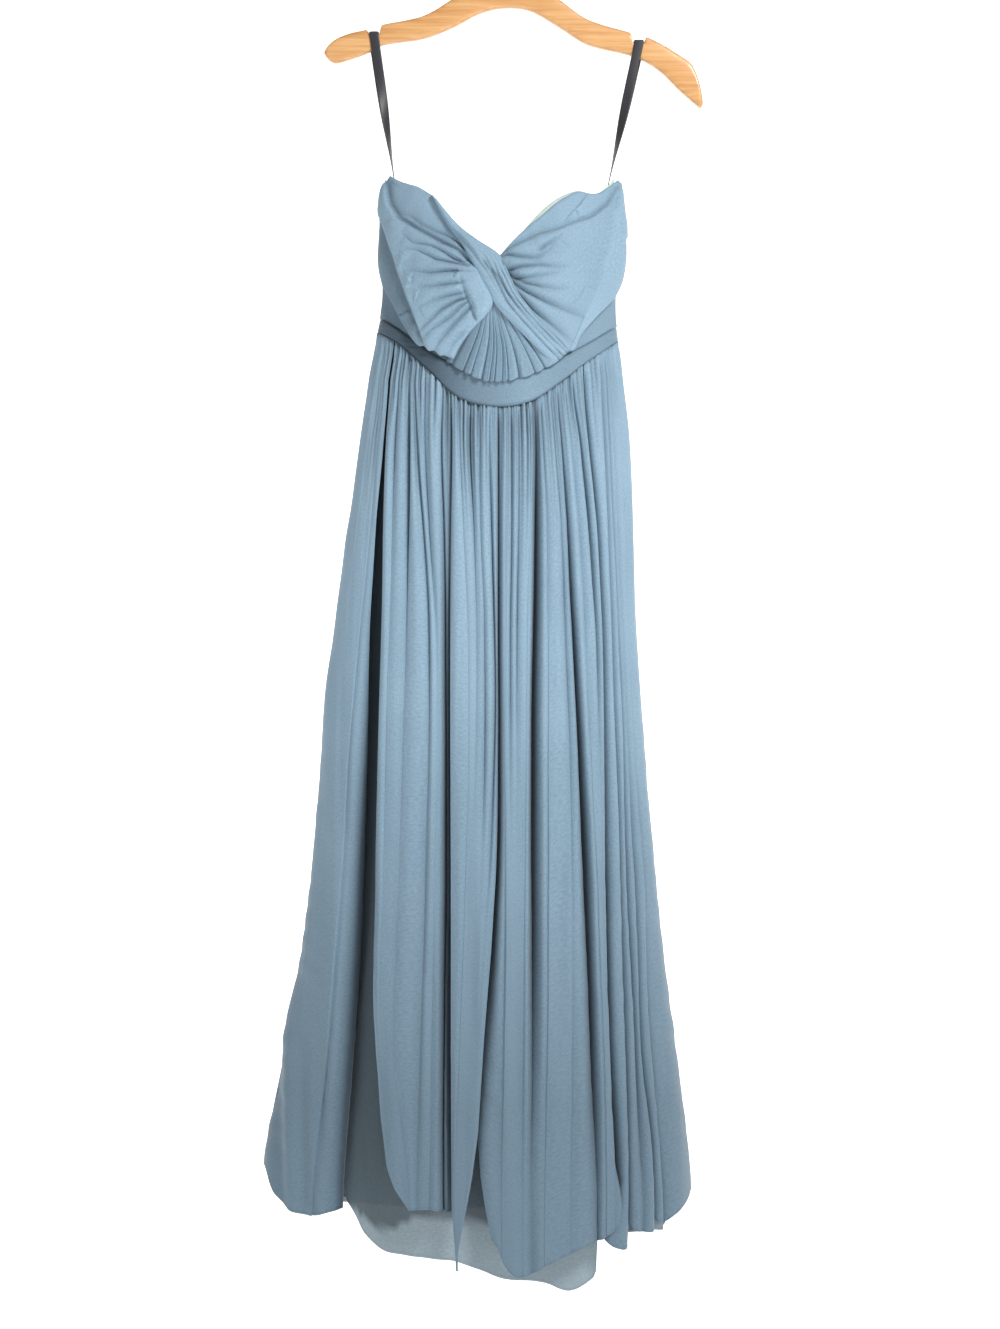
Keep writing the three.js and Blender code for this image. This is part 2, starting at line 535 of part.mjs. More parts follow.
// Zip at the centre back: the tape inside, the slider at the top, and its pull tab.
function zip() {
  const half = ZIP.tape / 2;
  piece("zip_tape", wall(4, 12, (u, v, sunk) => {
    const z = lerp(ZIP.top, ZIP.bottom, v);
    const width = sectionAt(u < 0.5 ? "right" : "left", z);
    const turn = Math.PI + lerp(-half, half, u) / width;
    return skin(turn, z, sunk + CUP_OUT - WALL - SEAM);
  }, 1), COLOURS.zip, 0.7);
  const s = SLIDER;
  const y0 = sectionAt("back", ZIP.top - s.below) + CUP_OUT + s.off;
  const base = new THREE.BoxGeometry(s.wide, s.base, s.tall);
  base.translate(0, s.base / 2, 0);
  const arch = new THREE.Shape([[-4, 0.8], [4, 0.8], [4, s.lift], [2.6, s.lift + 0.9], [-2.6, s.lift + 0.9], [-4, s.lift]]
    .map(([a, b]) => new THREE.Vector2(a, b)));
  arch.holes.push(new THREE.Path([[-2.8, s.base], [2.8, s.base], [2.8, s.lift - 0.2], [2.2, s.lift], [-2.2, s.lift], [-2.8, s.lift - 0.2]]
    .map(([a, b]) => new THREE.Vector2(a, b))));
  const bridge = new THREE.ExtrudeGeometry(arch, { depth: s.bridge, bevelEnabled: false });
  bridge.translate(0, 0, -s.bridge / 2);
  bridge.rotateY(-Math.PI / 2);
  const slider = piece("zip_slider", fromSolid(solid(base).add(solid(bridge))), COLOURS.steel, 0.35, 1);
  slider.position.set(CENTRE_X, y0, ZIP.top - s.below);
  const p = PULL;
  const w = p.wide / 2;
  const top = p.thick / 2;
  const outline = [[-w, top], [-w, 2 - p.tall], [1.6 - w, -p.tall], [w - 1.6, -p.tall], [w, 2 - p.tall], [w, top]];
  const hole = rectangle(-p.window / 2, top - p.ring, p.window / 2, top - p.ring - 5.4);
  const tab = plate(outline, hole, p.thick);
  tab.translate(0, p.thick / 2, 0);
  const pull = piece("zip_pull", tab, COLOURS.steel, 0.35, 1);
  pull.position.set(CENTRE_X, y0 + (s.base + s.lift) / 2, ZIP.top - s.below);
}

bodice();
Object.entries(SKIRT).forEach(([name, rows]) => skirtPanel(name, rows));
back();
underLayer();
hanger();
loops();
zip();

export default root;
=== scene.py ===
"""Long strapless gown with a twisted, draped bodice and a gathered skirt, on a wooden hanger."""
import math

import bmesh
import bpy
import numpy as np
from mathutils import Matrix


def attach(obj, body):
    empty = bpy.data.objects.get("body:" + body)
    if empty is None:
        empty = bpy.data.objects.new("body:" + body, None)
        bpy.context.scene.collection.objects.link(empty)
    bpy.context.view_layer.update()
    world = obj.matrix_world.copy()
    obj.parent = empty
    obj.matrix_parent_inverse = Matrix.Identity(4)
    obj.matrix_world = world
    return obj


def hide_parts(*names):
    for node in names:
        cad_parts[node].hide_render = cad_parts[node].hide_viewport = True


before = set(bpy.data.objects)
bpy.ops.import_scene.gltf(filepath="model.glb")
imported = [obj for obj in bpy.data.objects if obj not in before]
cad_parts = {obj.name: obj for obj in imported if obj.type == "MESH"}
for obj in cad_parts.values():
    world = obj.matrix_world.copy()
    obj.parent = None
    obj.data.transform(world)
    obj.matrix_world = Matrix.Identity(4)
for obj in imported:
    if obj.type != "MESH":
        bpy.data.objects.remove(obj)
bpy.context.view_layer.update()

# Sizes are in millimetres until a mesh is made; meshes are in metres.
MM = 0.001

# The gown's middle, and the eye that the outlines below are drawn from, with its distance to the gown.
CENTRE_X = -6.0
EYE_X, EYE_Z, EYE_FAR = -7.0, -911.0, 2400.0

# Thickness of a cloth piece, and how far neighbouring pieces stand apart at a seam.
CLOTH = 0.7
SEAM_GAP = 0.3

# Camera

# The camera stands within half a millimetre of that eye and has the photograph's angle of view.
CAMERA_X, CAMERA_Z = -7.2, -911.4
SENSOR_TALL, LENS = 36, 54.18
camera = bpy.data.objects.new("camera", bpy.data.cameras.new("camera"))
camera.location = (CAMERA_X * MM, -EYE_FAR * MM, CAMERA_Z * MM)
camera.rotation_euler = (math.pi / 2, 0, 0)
camera.data.sensor_fit = "VERTICAL"
camera.data.sensor_height = SENSOR_TALL
camera.data.lens = LENS
camera.data.clip_end = 50
bpy.context.collection.objects.link(camera)
bpy.context.scene.camera = camera
bpy.context.scene.view_settings.view_transform = "Standard"

# The shape of the hanging gown

# Half widths to each side of the centre line, and depths before and behind the side seams, at each height.
FORM_KEYS = ("z", "left", "right", "front", "back")
FORM = np.array([(-318, 137, 139, 36, 28), (-348, 144, 143, 44, 34), (-378, 142, 144, 52, 40),
                 (-414, 146, 146, 60, 46), (-462, 141, 138, 66, 52), (-486, 143, 136, 66, 54),
                 (-510, 149, 140, 66, 56), (-572, 160, 148, 68, 60), (-630, 168, 154, 72, 65),
                 (-714, 179, 158, 78, 72), (-786, 190, 160, 84, 78), (-858, 199, 162, 90, 84),
                 (-954, 212, 169, 98, 92), (-1074, 220, 178, 108, 102), (-1170, 228, 188, 116, 110),
                 (-1266, 243, 197, 123, 118), (-1386, 262, 212, 132, 128), (-1465, 278, 224, 137, 134),
                 (-1530, 288, 230, 141, 138), (-1662, 299, 235, 146, 144)])
# Sizes are eased over this much up and down.
FORM_EASE = 20

# Edges of the front pieces as they look from the front, (x, z), from left to right or from
# top to bottom.
NECK_LEFT = [(-144, -326), (-116, -336), (-95, -342), (-79, -358), (-58, -384), (-35, -404), (-8, -421)]
NECK_RIGHT = [(-8, -421), (4, -412), (26, -384), (56, -355), (85, -342), (109, -346), (125, -336),
              (134, -328)]
WAIST = [(-155, -513), (-128, -528), (-94, -558), (-58, -590), (-13, -601), (29, -595), (66, -572),
         (98, -548), (136, -524)]
BAND_TOP = [(-153, -496), (-128, -511), (-89, -538), (-60, -552), (-13, -565), (35, -557), (60, -546),
            (98, -527), (136, -505)]
CUP_LEFT = {
    "top": [(-139, -325), (-128, -331), (-116, -335), (-104, -339), (-86, -350)],
    "right": [(-86, -350), (-67, -384), (-49, -408), (-38, -429), (-23, -457), (-15, -476), (-23, -493),
              (-40, -510), (-54, -529), (-63, -546)],
    "bottom": [(-147, -457), (-138, -474), (-124, -502), (-111, -523), (-104, -530), (-98, -530),
               (-92, -536), (-85, -536), (-79, -542), (-73, -542), (-63, -547)],
    "left": [(-139, -325), (-147, -337), (-153, -354), (-152, -380), (-155, -416), (-147, -457)],
}
CUP_RIGHT = {
    "top": [(-8, -421), (8, -403), (26, -386), (42, -373), (58, -359), (72, -350), (86, -344), (109, -346),
            (135, -330)],
    "right": [(135, -330), (139, -345), (141, -361), (144, -388), (147, -428), (140, -446), (127, -474)],
    "bottom": [(74, -536), (81, -534), (86, -522), (94, -510), (109, -493), (127, -474)],
    "left": [(-8, -421), (-3, -444), (14, -470), (37, -499), (57, -518), (74, -536)],
}
TWIST = {
    "top": [(-88, -349), (-83, -353)],
    "right": [(-83, -353), (-58, -383), (-34, -402), (-8, -420), (3, -442), (16, -468), (39, -497),
              (59, -517), (77, -534)],
    "bottom": [(58, -551), (77, -534)],
    "left": [(-88, -349), (-70, -384), (-52, -409), (-40, -431), (-26, -457), (-10, -484), (16, -512),
             (43, -539), (58, -551)],
}
FAN = {
    "top": [(-26, -474), (-4, -480)],
    "right": [(-4, -480), (60, -548)],
    "bottom": [(-72, -546), (-53, -558), (-30, -569), (-13, -571), (2, -570), (32, -562), (60, -548)],
    "left": [(-26, -474), (-43, -500), (-72, -546)],
}
SIDE_LEFT_TOP = [(-148, -428), (-115, -462), (-79, -504), (-69, -520), (-60, -538)]
SIDE_RIGHT_TOP = [(64, -544), (74, -528), (95, -486), (119, -456), (142, -428)]

# Rough half width of the bodice, from which a place on it is refined.
BODICE_HALF = 145

# Number of waves that a ripple of the cloth adds up.
WAVES = 7


def crease(line, deep, above, below, step=0, shade=0):
    """A crease of a drape: its line as it looks from the front, and how deep it is.

    It softens over above mm above or left of the line and below mm on the other side. With a step, the cloth
    above the line lies that much lower, or the cloth below it if the step is negative, as where one layer
    lies over the next, and shade is the painted shade on the lower layer, where the upper one shades it.
    """
    return {"line": line, "deep": deep, "above": above, "below": below, "step": step, "shade": shade}


CREASES_LEFT = [
    crease([(-144, -331), (-138, -360), (-126, -378), (-101, -393), (-76, -407), (-58, -415), (-45, -428)],
            deep=2.6, above=4, below=1.0, step=4.5, shade=0.2),
    crease([(-130, -372), (-115, -374), (-101, -384), (-87, -391), (-72, -397), (-58, -405), (-49, -413)],
            deep=2.2, above=3, below=1.4),
    crease([(-122, -395), (-109, -407), (-87, -411), (-72, -419), (-62, -426), (-51, -430)], deep=2.8,
            above=5, below=1.3),
    crease([(-122, -413), (-101, -417), (-80, -428), (-58, -432), (-45, -434)], deep=3.0, above=5,
            below=1.3),
    crease([(-118, -440), (-87, -444), (-72, -442), (-53, -441)], deep=3.0, above=6, below=1.4),
    crease([(-107, -461), (-87, -460), (-70, -458), (-53, -455)], deep=2.8, above=6, below=1.4),
    crease([(-101, -483), (-87, -477), (-66, -471), (-51, -467)], deep=2.4, above=5, below=1.5),
    crease([(-107, -517), (-91, -502), (-76, -488), (-58, -477), (-47, -473)], deep=3.4, above=5,
            below=1.5),
    crease([(-105, -527), (-87, -510), (-66, -496), (-53, -483), (-45, -477)], deep=2.6, above=4,
            below=1.5),
    crease([(-87, -537), (-76, -521), (-62, -506), (-49, -492), (-41, -483)], deep=3.2, above=5, below=1.5),
    crease([(-72, -545), (-62, -527), (-49, -514)], deep=2.2, above=4, below=1.5),
    crease([(-55, -446), (-51, -458), (-47, -470), (-42, -484), (-36, -499)], deep=2.2, above=2.4,
            below=1.6),
    crease([(-145, -384), (-132, -422), (-122, -453), (-109, -490), (-107, -496)], deep=-1.2, above=1.6,
            below=1.2, step=-3.6, shade=0.6),
]
CREASES_RIGHT = [
    crease([(-6, -419), (6, -411), (23, -403), (40, -395), (58, -391), (79, -382), (99, -376), (120, -360),
            (132, -339)], deep=2.4, above=2.5, below=1.2, step=3.0),
    crease([(-8, -424), (2, -421), (17, -424), (35, -425), (50, -415), (58, -403)], deep=3.0, above=5,
            below=1.4),
    crease([(40, -415), (54, -405), (66, -395)], deep=2.2, above=4, below=1.5),
    crease([(2, -440), (17, -436), (37, -434), (60, -436), (79, -434)], deep=3.2, above=5, below=1.4),
    crease([(2, -444), (11, -449), (27, -448), (50, -444), (70, -440)], deep=2.4, above=3, below=1.6),
    crease([(11, -448), (23, -455), (42, -460), (58, -462), (75, -461)], deep=3.0, above=5, below=1.4),
    crease([(-4, -436), (6, -453), (23, -465), (44, -477), (64, -486), (85, -494), (97, -500)], deep=4.6,
            above=6, below=1.4),
    crease([(-8, -438), (2, -455), (15, -469), (31, -486), (50, -502), (70, -519), (85, -531)], deep=3.6,
            above=4, below=1.4),
    crease([(0, -452), (11, -467), (27, -483), (46, -500), (64, -516), (79, -532)], deep=2.6, above=3,
            below=1.5),
    crease([(128, -366), (120, -403), (112, -440), (101, -469), (91, -494)], deep=-1.3, above=1.6,
            below=1.6, step=-2.0, shade=0.12),
]
CREASES_TWIST = [
    crease([(-16, -440), (-8, -452), (2, -467), (13, -483), (27, -498), (46, -514), (62, -531)], deep=3.4,
            above=3, below=1.5),
    crease([(-27, -428), (-16, -444), (-6, -461), (0, -475), (6, -483)], deep=3.0, above=4, below=1.5),
    crease([(-60, -394), (-40, -418), (-24, -440), (-10, -464), (6, -490), (24, -508)], deep=2.2, above=3,
            below=1.8),
]

# How creases are drawn: the curve of their sides (1 is sharp, 2 round), the depth at which their painted
# shade is full, how wide a step is and how far its lowering reaches, and the widest and the furthest puff
# between creases.
VALLEY_CURVE = 1.15
CREASE_SHADE_FULL = 7
STEP_WIDE, STEP_FADES = 0.7, 45
PUFF_WIDEST, PUFF_REACH = 13, 60

# How far the lining and the waistband lie in from the measured skin, the depth of a waistband seam, and the
# height of the plain panels' faint waves.
LINING_IN, BAND_IN, SEAM_DEEP, FAINT = 5, 1.6, 0.9, 0.25

# The cup drapes: distance from the skin, height of their crown, share of the cup that is its rounded rim, and
# how far the bust fills them.
DRAPE_OUT, DRAPE_CROWN, DRAPE_RIM, BUST = 0.4, 5.2, 0.07, 6

# The twist: distance from the skin, height of its roll, and the number and depth of its strands.
TWIST_OUT, TWIST_ROLL, TWIST_STRANDS, STRAND_DEEP = 3.4, 6.4, 3.5, 2.8

# The fan's pleats: their number, the share that is a pleat's face, their depth, and how far a pleat's end
# drops over the waistband.
FAN_PLEATS, PLEAT_FACE, PLEAT_DEEP, PLEAT_DROP = 12, 0.86, 5.0, 1.6

# Shade that the drapes throw on the waistband, at each x.
BAND_SHADE = [(-150, 0.72), (-120, 0.88), (-92, 0.86), (-72, 0.7), (-42, 0.46), (-10, 0.34), (30, 0.2),
              (70, 0.3), (140, 0.34)]

# Heights at which the fold tables give each fold's place and depth.
STATIONS = (-570, -642, -738, -858, -1002, -1170, -1362, -1554)


def valley(x, deep, hem, soft, keen=1.0, seam=None, edge=None, drawn_in=False):
    """A valley between two folds of a front panel: its x and depth at the stations, and the hem's height.

    A hem pair ends the lobe on the left and starts the lobe on the right. soft tells how far the valley
    softens to its left and right, and keen how far it keeps a narrow slit, from 0 to 1. A valley with a seam
    follows that side seam. edge gives the last stretch of a panel's free side, (z, x). Where the first valley
    is drawn_in, the panel's folds draw together with its sides.
    """
    return {"x": x, "deep": deep, "hem": hem, "soft": soft, "keen": keen, "seam": seam, "edge": edge,
            "drawn_in": drawn_in}


# Front skirt panels: the cut of what shows (width, length, area, in metres), the rise of the hem at a lobe's
# end, and the valleys from left to right.
SKIRT = {
    "skirt_left": {"cut": (0.15, 1.07, 0.105), "corner": 0, "rows": [
        valley(x=(-166, -175, -188, -205, -222, -236, -264, -293), deep=(0, 0, 0, 0, 0, 0, 0, 0), hem=-1510,
               soft=(9, 9), keen=0, seam="left"),
        valley(x=(-163, -172, -184, -199, -215, -230, -254, -279), deep=(1, 0, 0, 0, 0, 0, 0, 0), hem=-1547,
               soft=(9, 9), keen=0),
        valley(x=(-158, -167, -178, -191, -205, -221, -240, -259), deep=(1, 1, 0, 0, 0, 1, 1, 0), hem=-1566,
               soft=(14, 16), keen=0),
        valley(x=(-151, -157, -165, -176, -188, -199, -214, -233), deep=(2, 2, 2, 1, 0, 0, 0, 0), hem=-1573,
               soft=(12, 12), keen=0),
        valley(x=(-144, -149, -158, -167, -174, -183, -194, -204.6), deep=(2, 2, 3, 6, 12, 19, 20, 17),
               hem=-1568, soft=(10, 6)),
    ]},
    "skirt_front_left": {"cut": (0.15, 1.04, 0.125), "corner": 0, "rows": [
        valley(x=(-142, -148, -151, -153, -157, -159, -158, -126), deep=(3, 4, 5, 6, 6, 4, 2, 1), hem=-1566,
               soft=(2, 2.4), edge=[(-1362, -158), (-1452, -152), (-1490, -147.6), (-1515, -144),
               (-1541, -134), (-1566, -117.6)]),
        valley(x=(-132, -136, -138, -140, -145, -148, -150, -122), deep=(4, 4, 2, 1, 1, 1, 0, 0), hem=-1567,
               soft=(3, 6)),
        valley(x=(-119, -119, -120, -121, -125, -131, -136, -116), deep=(5, 9, 8, 4, 3, 2, 1, 0), hem=-1567,
               soft=(5, 2)),
        valley(x=(-111, -108, -101, -94, -93, -97, -104, -108), deep=(4, 5, 6, 6, 4, 4, 4, 3), hem=-1567,
               soft=(5, 1.8)),
        valley(x=(-99, -99, -94, -86, -84, -86, -90, -93), deep=(4, 4, 4, 2, 1, 1, 0, 0), hem=-1566,
               soft=(4, 3)),
        valley(x=(-77, -79, -76, -74.5, -74.5, -75, -76, -77), deep=(4, 6, 9, 14, 16, 18, 17, 12),
               hem=-1570, soft=(7, 7)),
        valley(x=(-68, -67, -68, -68.5, -68.5, -68, -68, -67.5), deep=(4, 7, 8, 12, 15, 17, 17, 13),
               hem=-1572, soft=(7, 2), keen=0.3),
    ]},
    "skirt_centre": {"cut": (0.1, 1.07, 0.068), "corner": 0, "rows": [
        valley(x=(-67.4, -66.2, -67.2, -67.7, -67.5, -67, -66.6, -66), deep=(4, 6, 5, 4, 3, 3, 3, 2),
               hem=-1640, soft=(2, 0.6), drawn_in=True, edge=[(-1554, -66), (-1594, -63.5), (-1620, -61.5),
               (-1640, -60.5)]),
        valley(x=(-56, -57, -52, -46, -45, -49, -55, -63), deep=(4, 3, 1, 1, 0, 0, 0, 0), hem=-1640,
               soft=(4, 5)),
        valley(x=(-42, -44, -40, -36, -36, -41, -48, -59), deep=(4, 8, 5, 3, 2, 0, 0, 0), hem=-1640,
               soft=(4, 6)),
        valley(x=(-31, -31, -31, -27, -26, -30, -40, -53), deep=(4, 4, 2, 3, 4, 1, 0, 0), hem=-1640,
               soft=(6, 2)),
        valley(x=(-20, -20, -17, -14, -14, -21, -34, -49), deep=(3, 3, 6, 8, 7, 2, 0, 0), hem=-1640,
               soft=(3, 1.6)),
        valley(x=(-10.4, -9.8, -9.6, -9.4, -9.4, -12.6, -27, -46), deep=(4, 7, 9, 12, 10, 3, 1, 1),
               hem=-1640, soft=(1.8, 1.6), edge=[(-1170, -12.6), (-1257, -18), (-1362, -26.4),
               (-1475, -33.6), (-1528, -40.8), (-1566, -48), (-1616, -57.6), (-1640, -58.8)]),
    ]},
    "skirt_front_right": {"cut": (0.22, 1.09, 0.19), "corner": 0, "rows": [
        valley(x=(-9.6, -9, -8.8, -8.6, -8.8, -13.4, -29, -27), deep=(4, 7, 9, 11, 15, 19, 15, 4),
               hem=-1604, soft=(1.6, 6), keen=0.3, edge=[(-1170, -13.4), (-1257, -19.6), (-1362, -29),
               (-1475, -35), (-1528, -31), (-1566, -25), (-1603, -17.4), (-1633, -8.4), (-1646, -3.6)]),
        valley(x=(-1, 0, -1, -1, -1, 0, -1, -5), deep=(4, 3, 2, 2, 1, 0, 0, 0), hem=-1627, soft=(2, 4)),
        valley(x=(6.4, 7.4, 6.6, 5, 5, 6, 6, 4), deep=(4, 6, 5, 5, 3, 0, 0, 0), hem=-1640, soft=(4, 1.6)),
        valley(x=(15, 16, 16, 13, 13, 13, 13, 11), deep=(4, 4, 4, 5, 2, 0, 0, 0), hem=-1646, soft=(4, 8)),
        valley(x=(26, 30, 29, 26, 24, 22, 21, 19), deep=(4, 4, 2, 1, 1, 0, 0, 0), hem=-1648, soft=(4, 6)),
        valley(x=(35, 37, 37, 36, 34, 33, 33, 31), deep=(5, 10, 15, 18, 19, 17, 11, 4), hem=-1644,
               soft=(4, 5), keen=0.4),
        valley(x=(42, 46, 50, 51, 52, 52, 50, 47), deep=(4, 4, 3, 2, 1, 0, 0, 0), hem=-1634, soft=(3, 6)),
        valley(x=(54, 60, 68, 72, 77, 79, 79, 77), deep=(4, 4, 4, 5, 4, 1, 0, 0), hem=-1619, soft=(7, 6)),
        valley(x=(62, 68, 76, 84, 92, 100, 108, 112), deep=(4, 6, 9, 14, 18, 19, 15, 7), hem=-1605,
               soft=(4, 1.2), keen=0.6),
        valley(x=(72, 79, 88, 96, 103, 110, 117, 122), deep=(4, 3, 3, 3, 2, 0, 0, 0), hem=-1599,
               soft=(4, 5)),
        valley(x=(82, 92, 102, 110, 114, 117, 122, 132), deep=(4, 7, 9, 7, 3, 0, 0, 0), hem=-1591,
               soft=(7, 3)),
        valley(x=(96, 102, 112, 119, 122.4, 124, 126, 144), deep=(4, 6, 7, 8, 9, 9, 9, 5), hem=-1574,
               soft=(5, 1.6), edge=[(-1170, 124), (-1314, 125), (-1440, 131), (-1515, 135), (-1548, 141),
               (-1574, 145)]),
    ]},
    "skirt_right": {"cut": (0.15, 1.09, 0.115), "corner": 9, "rows": [
        valley(x=(96.8, 102.8, 112.8, 120, 123.2, 125.6, 128.6, 140), deep=(4, 7, 8, 8, 9, 9, 12, 12),
               hem=-1609, soft=(2, 1.5), edge=[(-1536, 138), (-1560, 136), (-1580, 129), (-1600, 120),
               (-1618, 118)]),
        valley(x=(118, 121, 125, 130, 136, 141, 147, 152), deep=(3, 4, 4, 5, 6, 7, 7, 8),
               hem=(-1616, -1592), soft=(5, 1.6)),
        valley(x=(124, 127, 131, 137, 144, 150, 158, 167), deep=(3, 3, 3, 4, 5, 6, 6, 3), hem=-1593,
               soft=(5, 1.6)),
        valley(x=(130, 133, 137, 142, 149, 159, 166, 182), deep=(2, 2, 3, 3, 4, 6, 7, 8),
               hem=(-1591, -1582), soft=(5, 1.6)),
        valley(x=(136, 140, 145, 149, 156, 168, 177, 194), deep=(1, 1, 2, 2, 3, 5, 6, 5), hem=-1582,
               soft=(4, 1.8)),
        valley(x=(143, 148, 154, 157, 166, 180, 202, 228), deep=(0, 0, 0, 0, 0, 0, 0, 0), hem=-1548,
               soft=(6, 6), seam="right"),
    ]},
}

# How the panels' folds are drawn: the share of a keen valley that is a slit and the slit's half width, how
# far below the waist the folds turn broad and over what length, and the depth at which their painted shade
# is full.
SLIT_SHARE, SLIT_WIDE = 0.6, 1.5
LOW_FROM, LOW_OVER = 330, 420
FOLD_SHADE_FULL = 14

# Gathers under the waist: places across a fold, least and most depth and length, and half width.
GATHER_AT, GATHER_DEEP, GATHER_LONG, GATHER_WIDE = (0.34, 0.68), (4.2, 7.6), (45, 150), 1.25

# The puckers at the waist seam: their depth, and how far down they fade.
PUCKER_DEEP, PUCKER_LONG = 0.7, 15

# A hemmed piece's last two rows, as fractions of its length, and the stitched line's place and shade.
HEM_ROWS, HEM_LINE, HEM_SHADE = (0.9955, 0.998), 0.9965, 0.14

# Heights of the back pieces' edges at the centre back and at the side seams, and the places of the back
# panels' folds from side seam to centre.
BACK_MIDDLE = {"neck": -420, "band": -506, "waist": -530, "hem": -1596}
BACK_SIDE = {"left": {"neck": -329, "band": -496, "waist": -513, "hem": -1530},
             "right": {"neck": -331, "band": -505, "waist": -524, "hem": -1564}}
BACK_FOLDS = {"left": (0.0, 0.1, 0.19, 0.31, 0.41, 0.53, 0.62, 0.74, 0.85, 1.0),
              "right": (0.0, 0.12, 0.23, 0.32, 0.45, 0.55, 0.67, 0.77, 0.88, 1.0)}

# The back panels' folds: least and most depth and softness, the panel's width for each half width of the
# gown, how far down the folds reach their full depth, and the depth at which their painted shade is full.
BACK_DEEP, BACK_SOFT, HALF_ROUND, BACK_EASE, BACK_SHADE_FULL = (7, 15), (1.8, 7), 1.25, 240, 26

# Their small gathers: depth and half width, and how far down they fade.
BACK_GATHER, BACK_GATHER_LONG = 1.8, 90

# How far the back starts under the front at the side seam, how deep it tucks in there, and how far its hem
# turns up there.
BACK_OVERLAP, BACK_TUCK = 3.0, 3.0
HEM_TURN, HEM_TURN_WIDE = 30, 9

# The sheer under-skirt: its hem and the lining's hem behind it as they look from the front, its distance
# from the skin at fractions of its length, its hem at the left and right side and at the centre back, and how
# far its back edge tucks up.
UNDER_FRONT = [(-310, -1545), (-201.6, -1549), (-190, -1555), (-179, -1573), (-168, -1594), (-148, -1614),
               (-122, -1621), (-92, -1624), (-66, -1626), (-53, -1630), (-31, -1639), (-5, -1648),
               (20, -1650), (46, -1654), (66, -1661), (78, -1662), (91, -1656), (106, -1646), (109, -1633),
               (112, -1616), (116, -1596), (260, -1585)]
LINING_HEM = [(-310, -1530), (-204, -1552), (-190, -1558), (-175, -1571), (-158, -1584), (-140, -1590),
              (-122, -1581), (-100, -1573), (-60, -1576), (0, -1590), (60, -1602), (116, -1600),
              (260, -1560)]
UNDER_OUT = [(0, -5), (0.035, -14), (0.15, -25), (0.4, -34), (0.7, -35), (1, -34)]
UNDER_SIDE_HEM, UNDER_BACK_HEM = (-1530, -1565), -1592
UNDER_TUCK = 7

# Hanger arms: x and the upper and lower edge there, and the notches' middle, width and floor. A tip is
# rounded over a share of the arms' length, and a power under 1 makes their section nearer a box than an oval.
ARM = [(-218, -175, -181), (-206, -163, -190), (-188, -155, -186), (-166, -150, -178), (-146, -144, -168),
       (-100, -134, -161), (-65, -114, -148), (-30, -91, -130), (0, -84, -124), (30, -91, -128),
       (65, -115, -148), (98, -138, -168), (146, -153, -180), (168, -159, -189), (187, -168, -202),
       (205, -179, -220), (224, -194, -237), (236, -228, -247)]
NOTCHES = [(-158, 15, -155), (159, 16, -165)]
ARM_HALF_THICK, ARM_TIP, ARM_SQUARE = 6, 0.012, 0.55

# The hook: its wire, its straight stem (x, z), and the radius and height of its round bow.
WIRE_THICK = 3.6
HOOK_STEM = [(0, -84), (0, -66), (1.5, -54), (6, -45)]
HOOK_ROUND, HOOK_MIDDLE = 21.8, -20

# Ribbon loops: their place on the notch and on the gown's edge (x, z), and the side they turn to.
LOOPS = {"loop_left": ((-158, -155), (-134, -336), 1), "loop_right": ((159, -165), (123, -338), -1)}
# Steps up each face of the arm, the loop's distance from the arm's middle, half the spread of its two ends
# at the gown, and how far below the notch's floor it starts to turn over; then the ribbon's own size.
LOOP_STEPS, LOOP_REACH, LOOP_SPREAD, LOOP_EDGE = 14, 6.8, 0.8, 3
RIBBON_WIDE, RIBBON_THICK = 11, 0.6


def size_at(key, z):
    """A size of the gown at a height, eased a little up and down."""
    column = FORM[:, [FORM_KEYS.index(key)]]
    total = 0
    for step in (-FORM_EASE, 0, FORM_EASE):
        row = np.interp(-(z + step), -FORM[:, 0], np.arange(len(FORM)))
        total = total + on_line(column, row / (len(FORM) - 1))[..., 0] / 3
    return total


def skin(angle, z, out):
    """Place on the gown at an angle from the centre front and a height, out from its measured skin."""
    sine, cosine = np.sin(angle), np.cos(angle)
    wide = np.where(sine < 0, size_at("left", z), size_at("right", z))
    deep = np.where(cosine > 0, size_at("front", z), size_at("back", z))
    across, away = sine / wide, -cosine / deep
    length = np.hypot(across, away)
    return np.stack((CENTRE_X + wide * sine + across / length * out, -deep * cosine + away / length * out,
                     z + 0 * angle), axis=-1)


def seen(x, z, out=0.0):
    """Place on the front of the gown that looks to be at x, z from the eye; it stops at the side seams."""
    depth = np.zeros_like(x)
    # The place's depth and its height depend on each other, so they are found in a few rounds.
    for _ in range(8):
        near = 1 + depth / EYE_FAR
        height = EYE_Z + (z - EYE_Z) * near
        side = EYE_X + (x - EYE_X) * near - CENTRE_X
        half = np.where(side < 0, size_at("left", height), size_at("right", height))
        front = size_at("front", height)
        edge = math.pi / 2 - SEAM_GAP / 2 / front
        angle = np.clip(np.arcsin(np.clip(side / half, -1, 1)), -edge, edge)
        depth = -front * np.cos(angle)
    return skin(angle, height, out)


def looks_from_eye(spot):
    """Where places in space look to be from the eye, and how much further than the gown's middle they are."""
    near = 1 + spot[:, 1] / EYE_FAR
    return EYE_X + (spot[:, 0] - EYE_X) / near, EYE_Z + (spot[:, 2] - EYE_Z) / near, near


def on_line(points, t):
    """Place on a line of points at a fraction of its rows, rounded where it turns."""
    line = np.array(points, float)
    s = np.clip(t, 0, 1) * (len(line) - 1)
    i = np.minimum(s.astype(int), len(line) - 2)
    f = (s - i)[..., None]
    a, b, c, d = line[np.maximum(i - 1, 0)], line[i], line[i + 1], line[np.minimum(i + 2, len(line) - 1)]
    return 0.5 * (2 * b + (c - a) * f + (2 * a - 5 * b + 4 * c - d) * f ** 2
                  + (3 * b - a - 3 * c + d) * f ** 3)


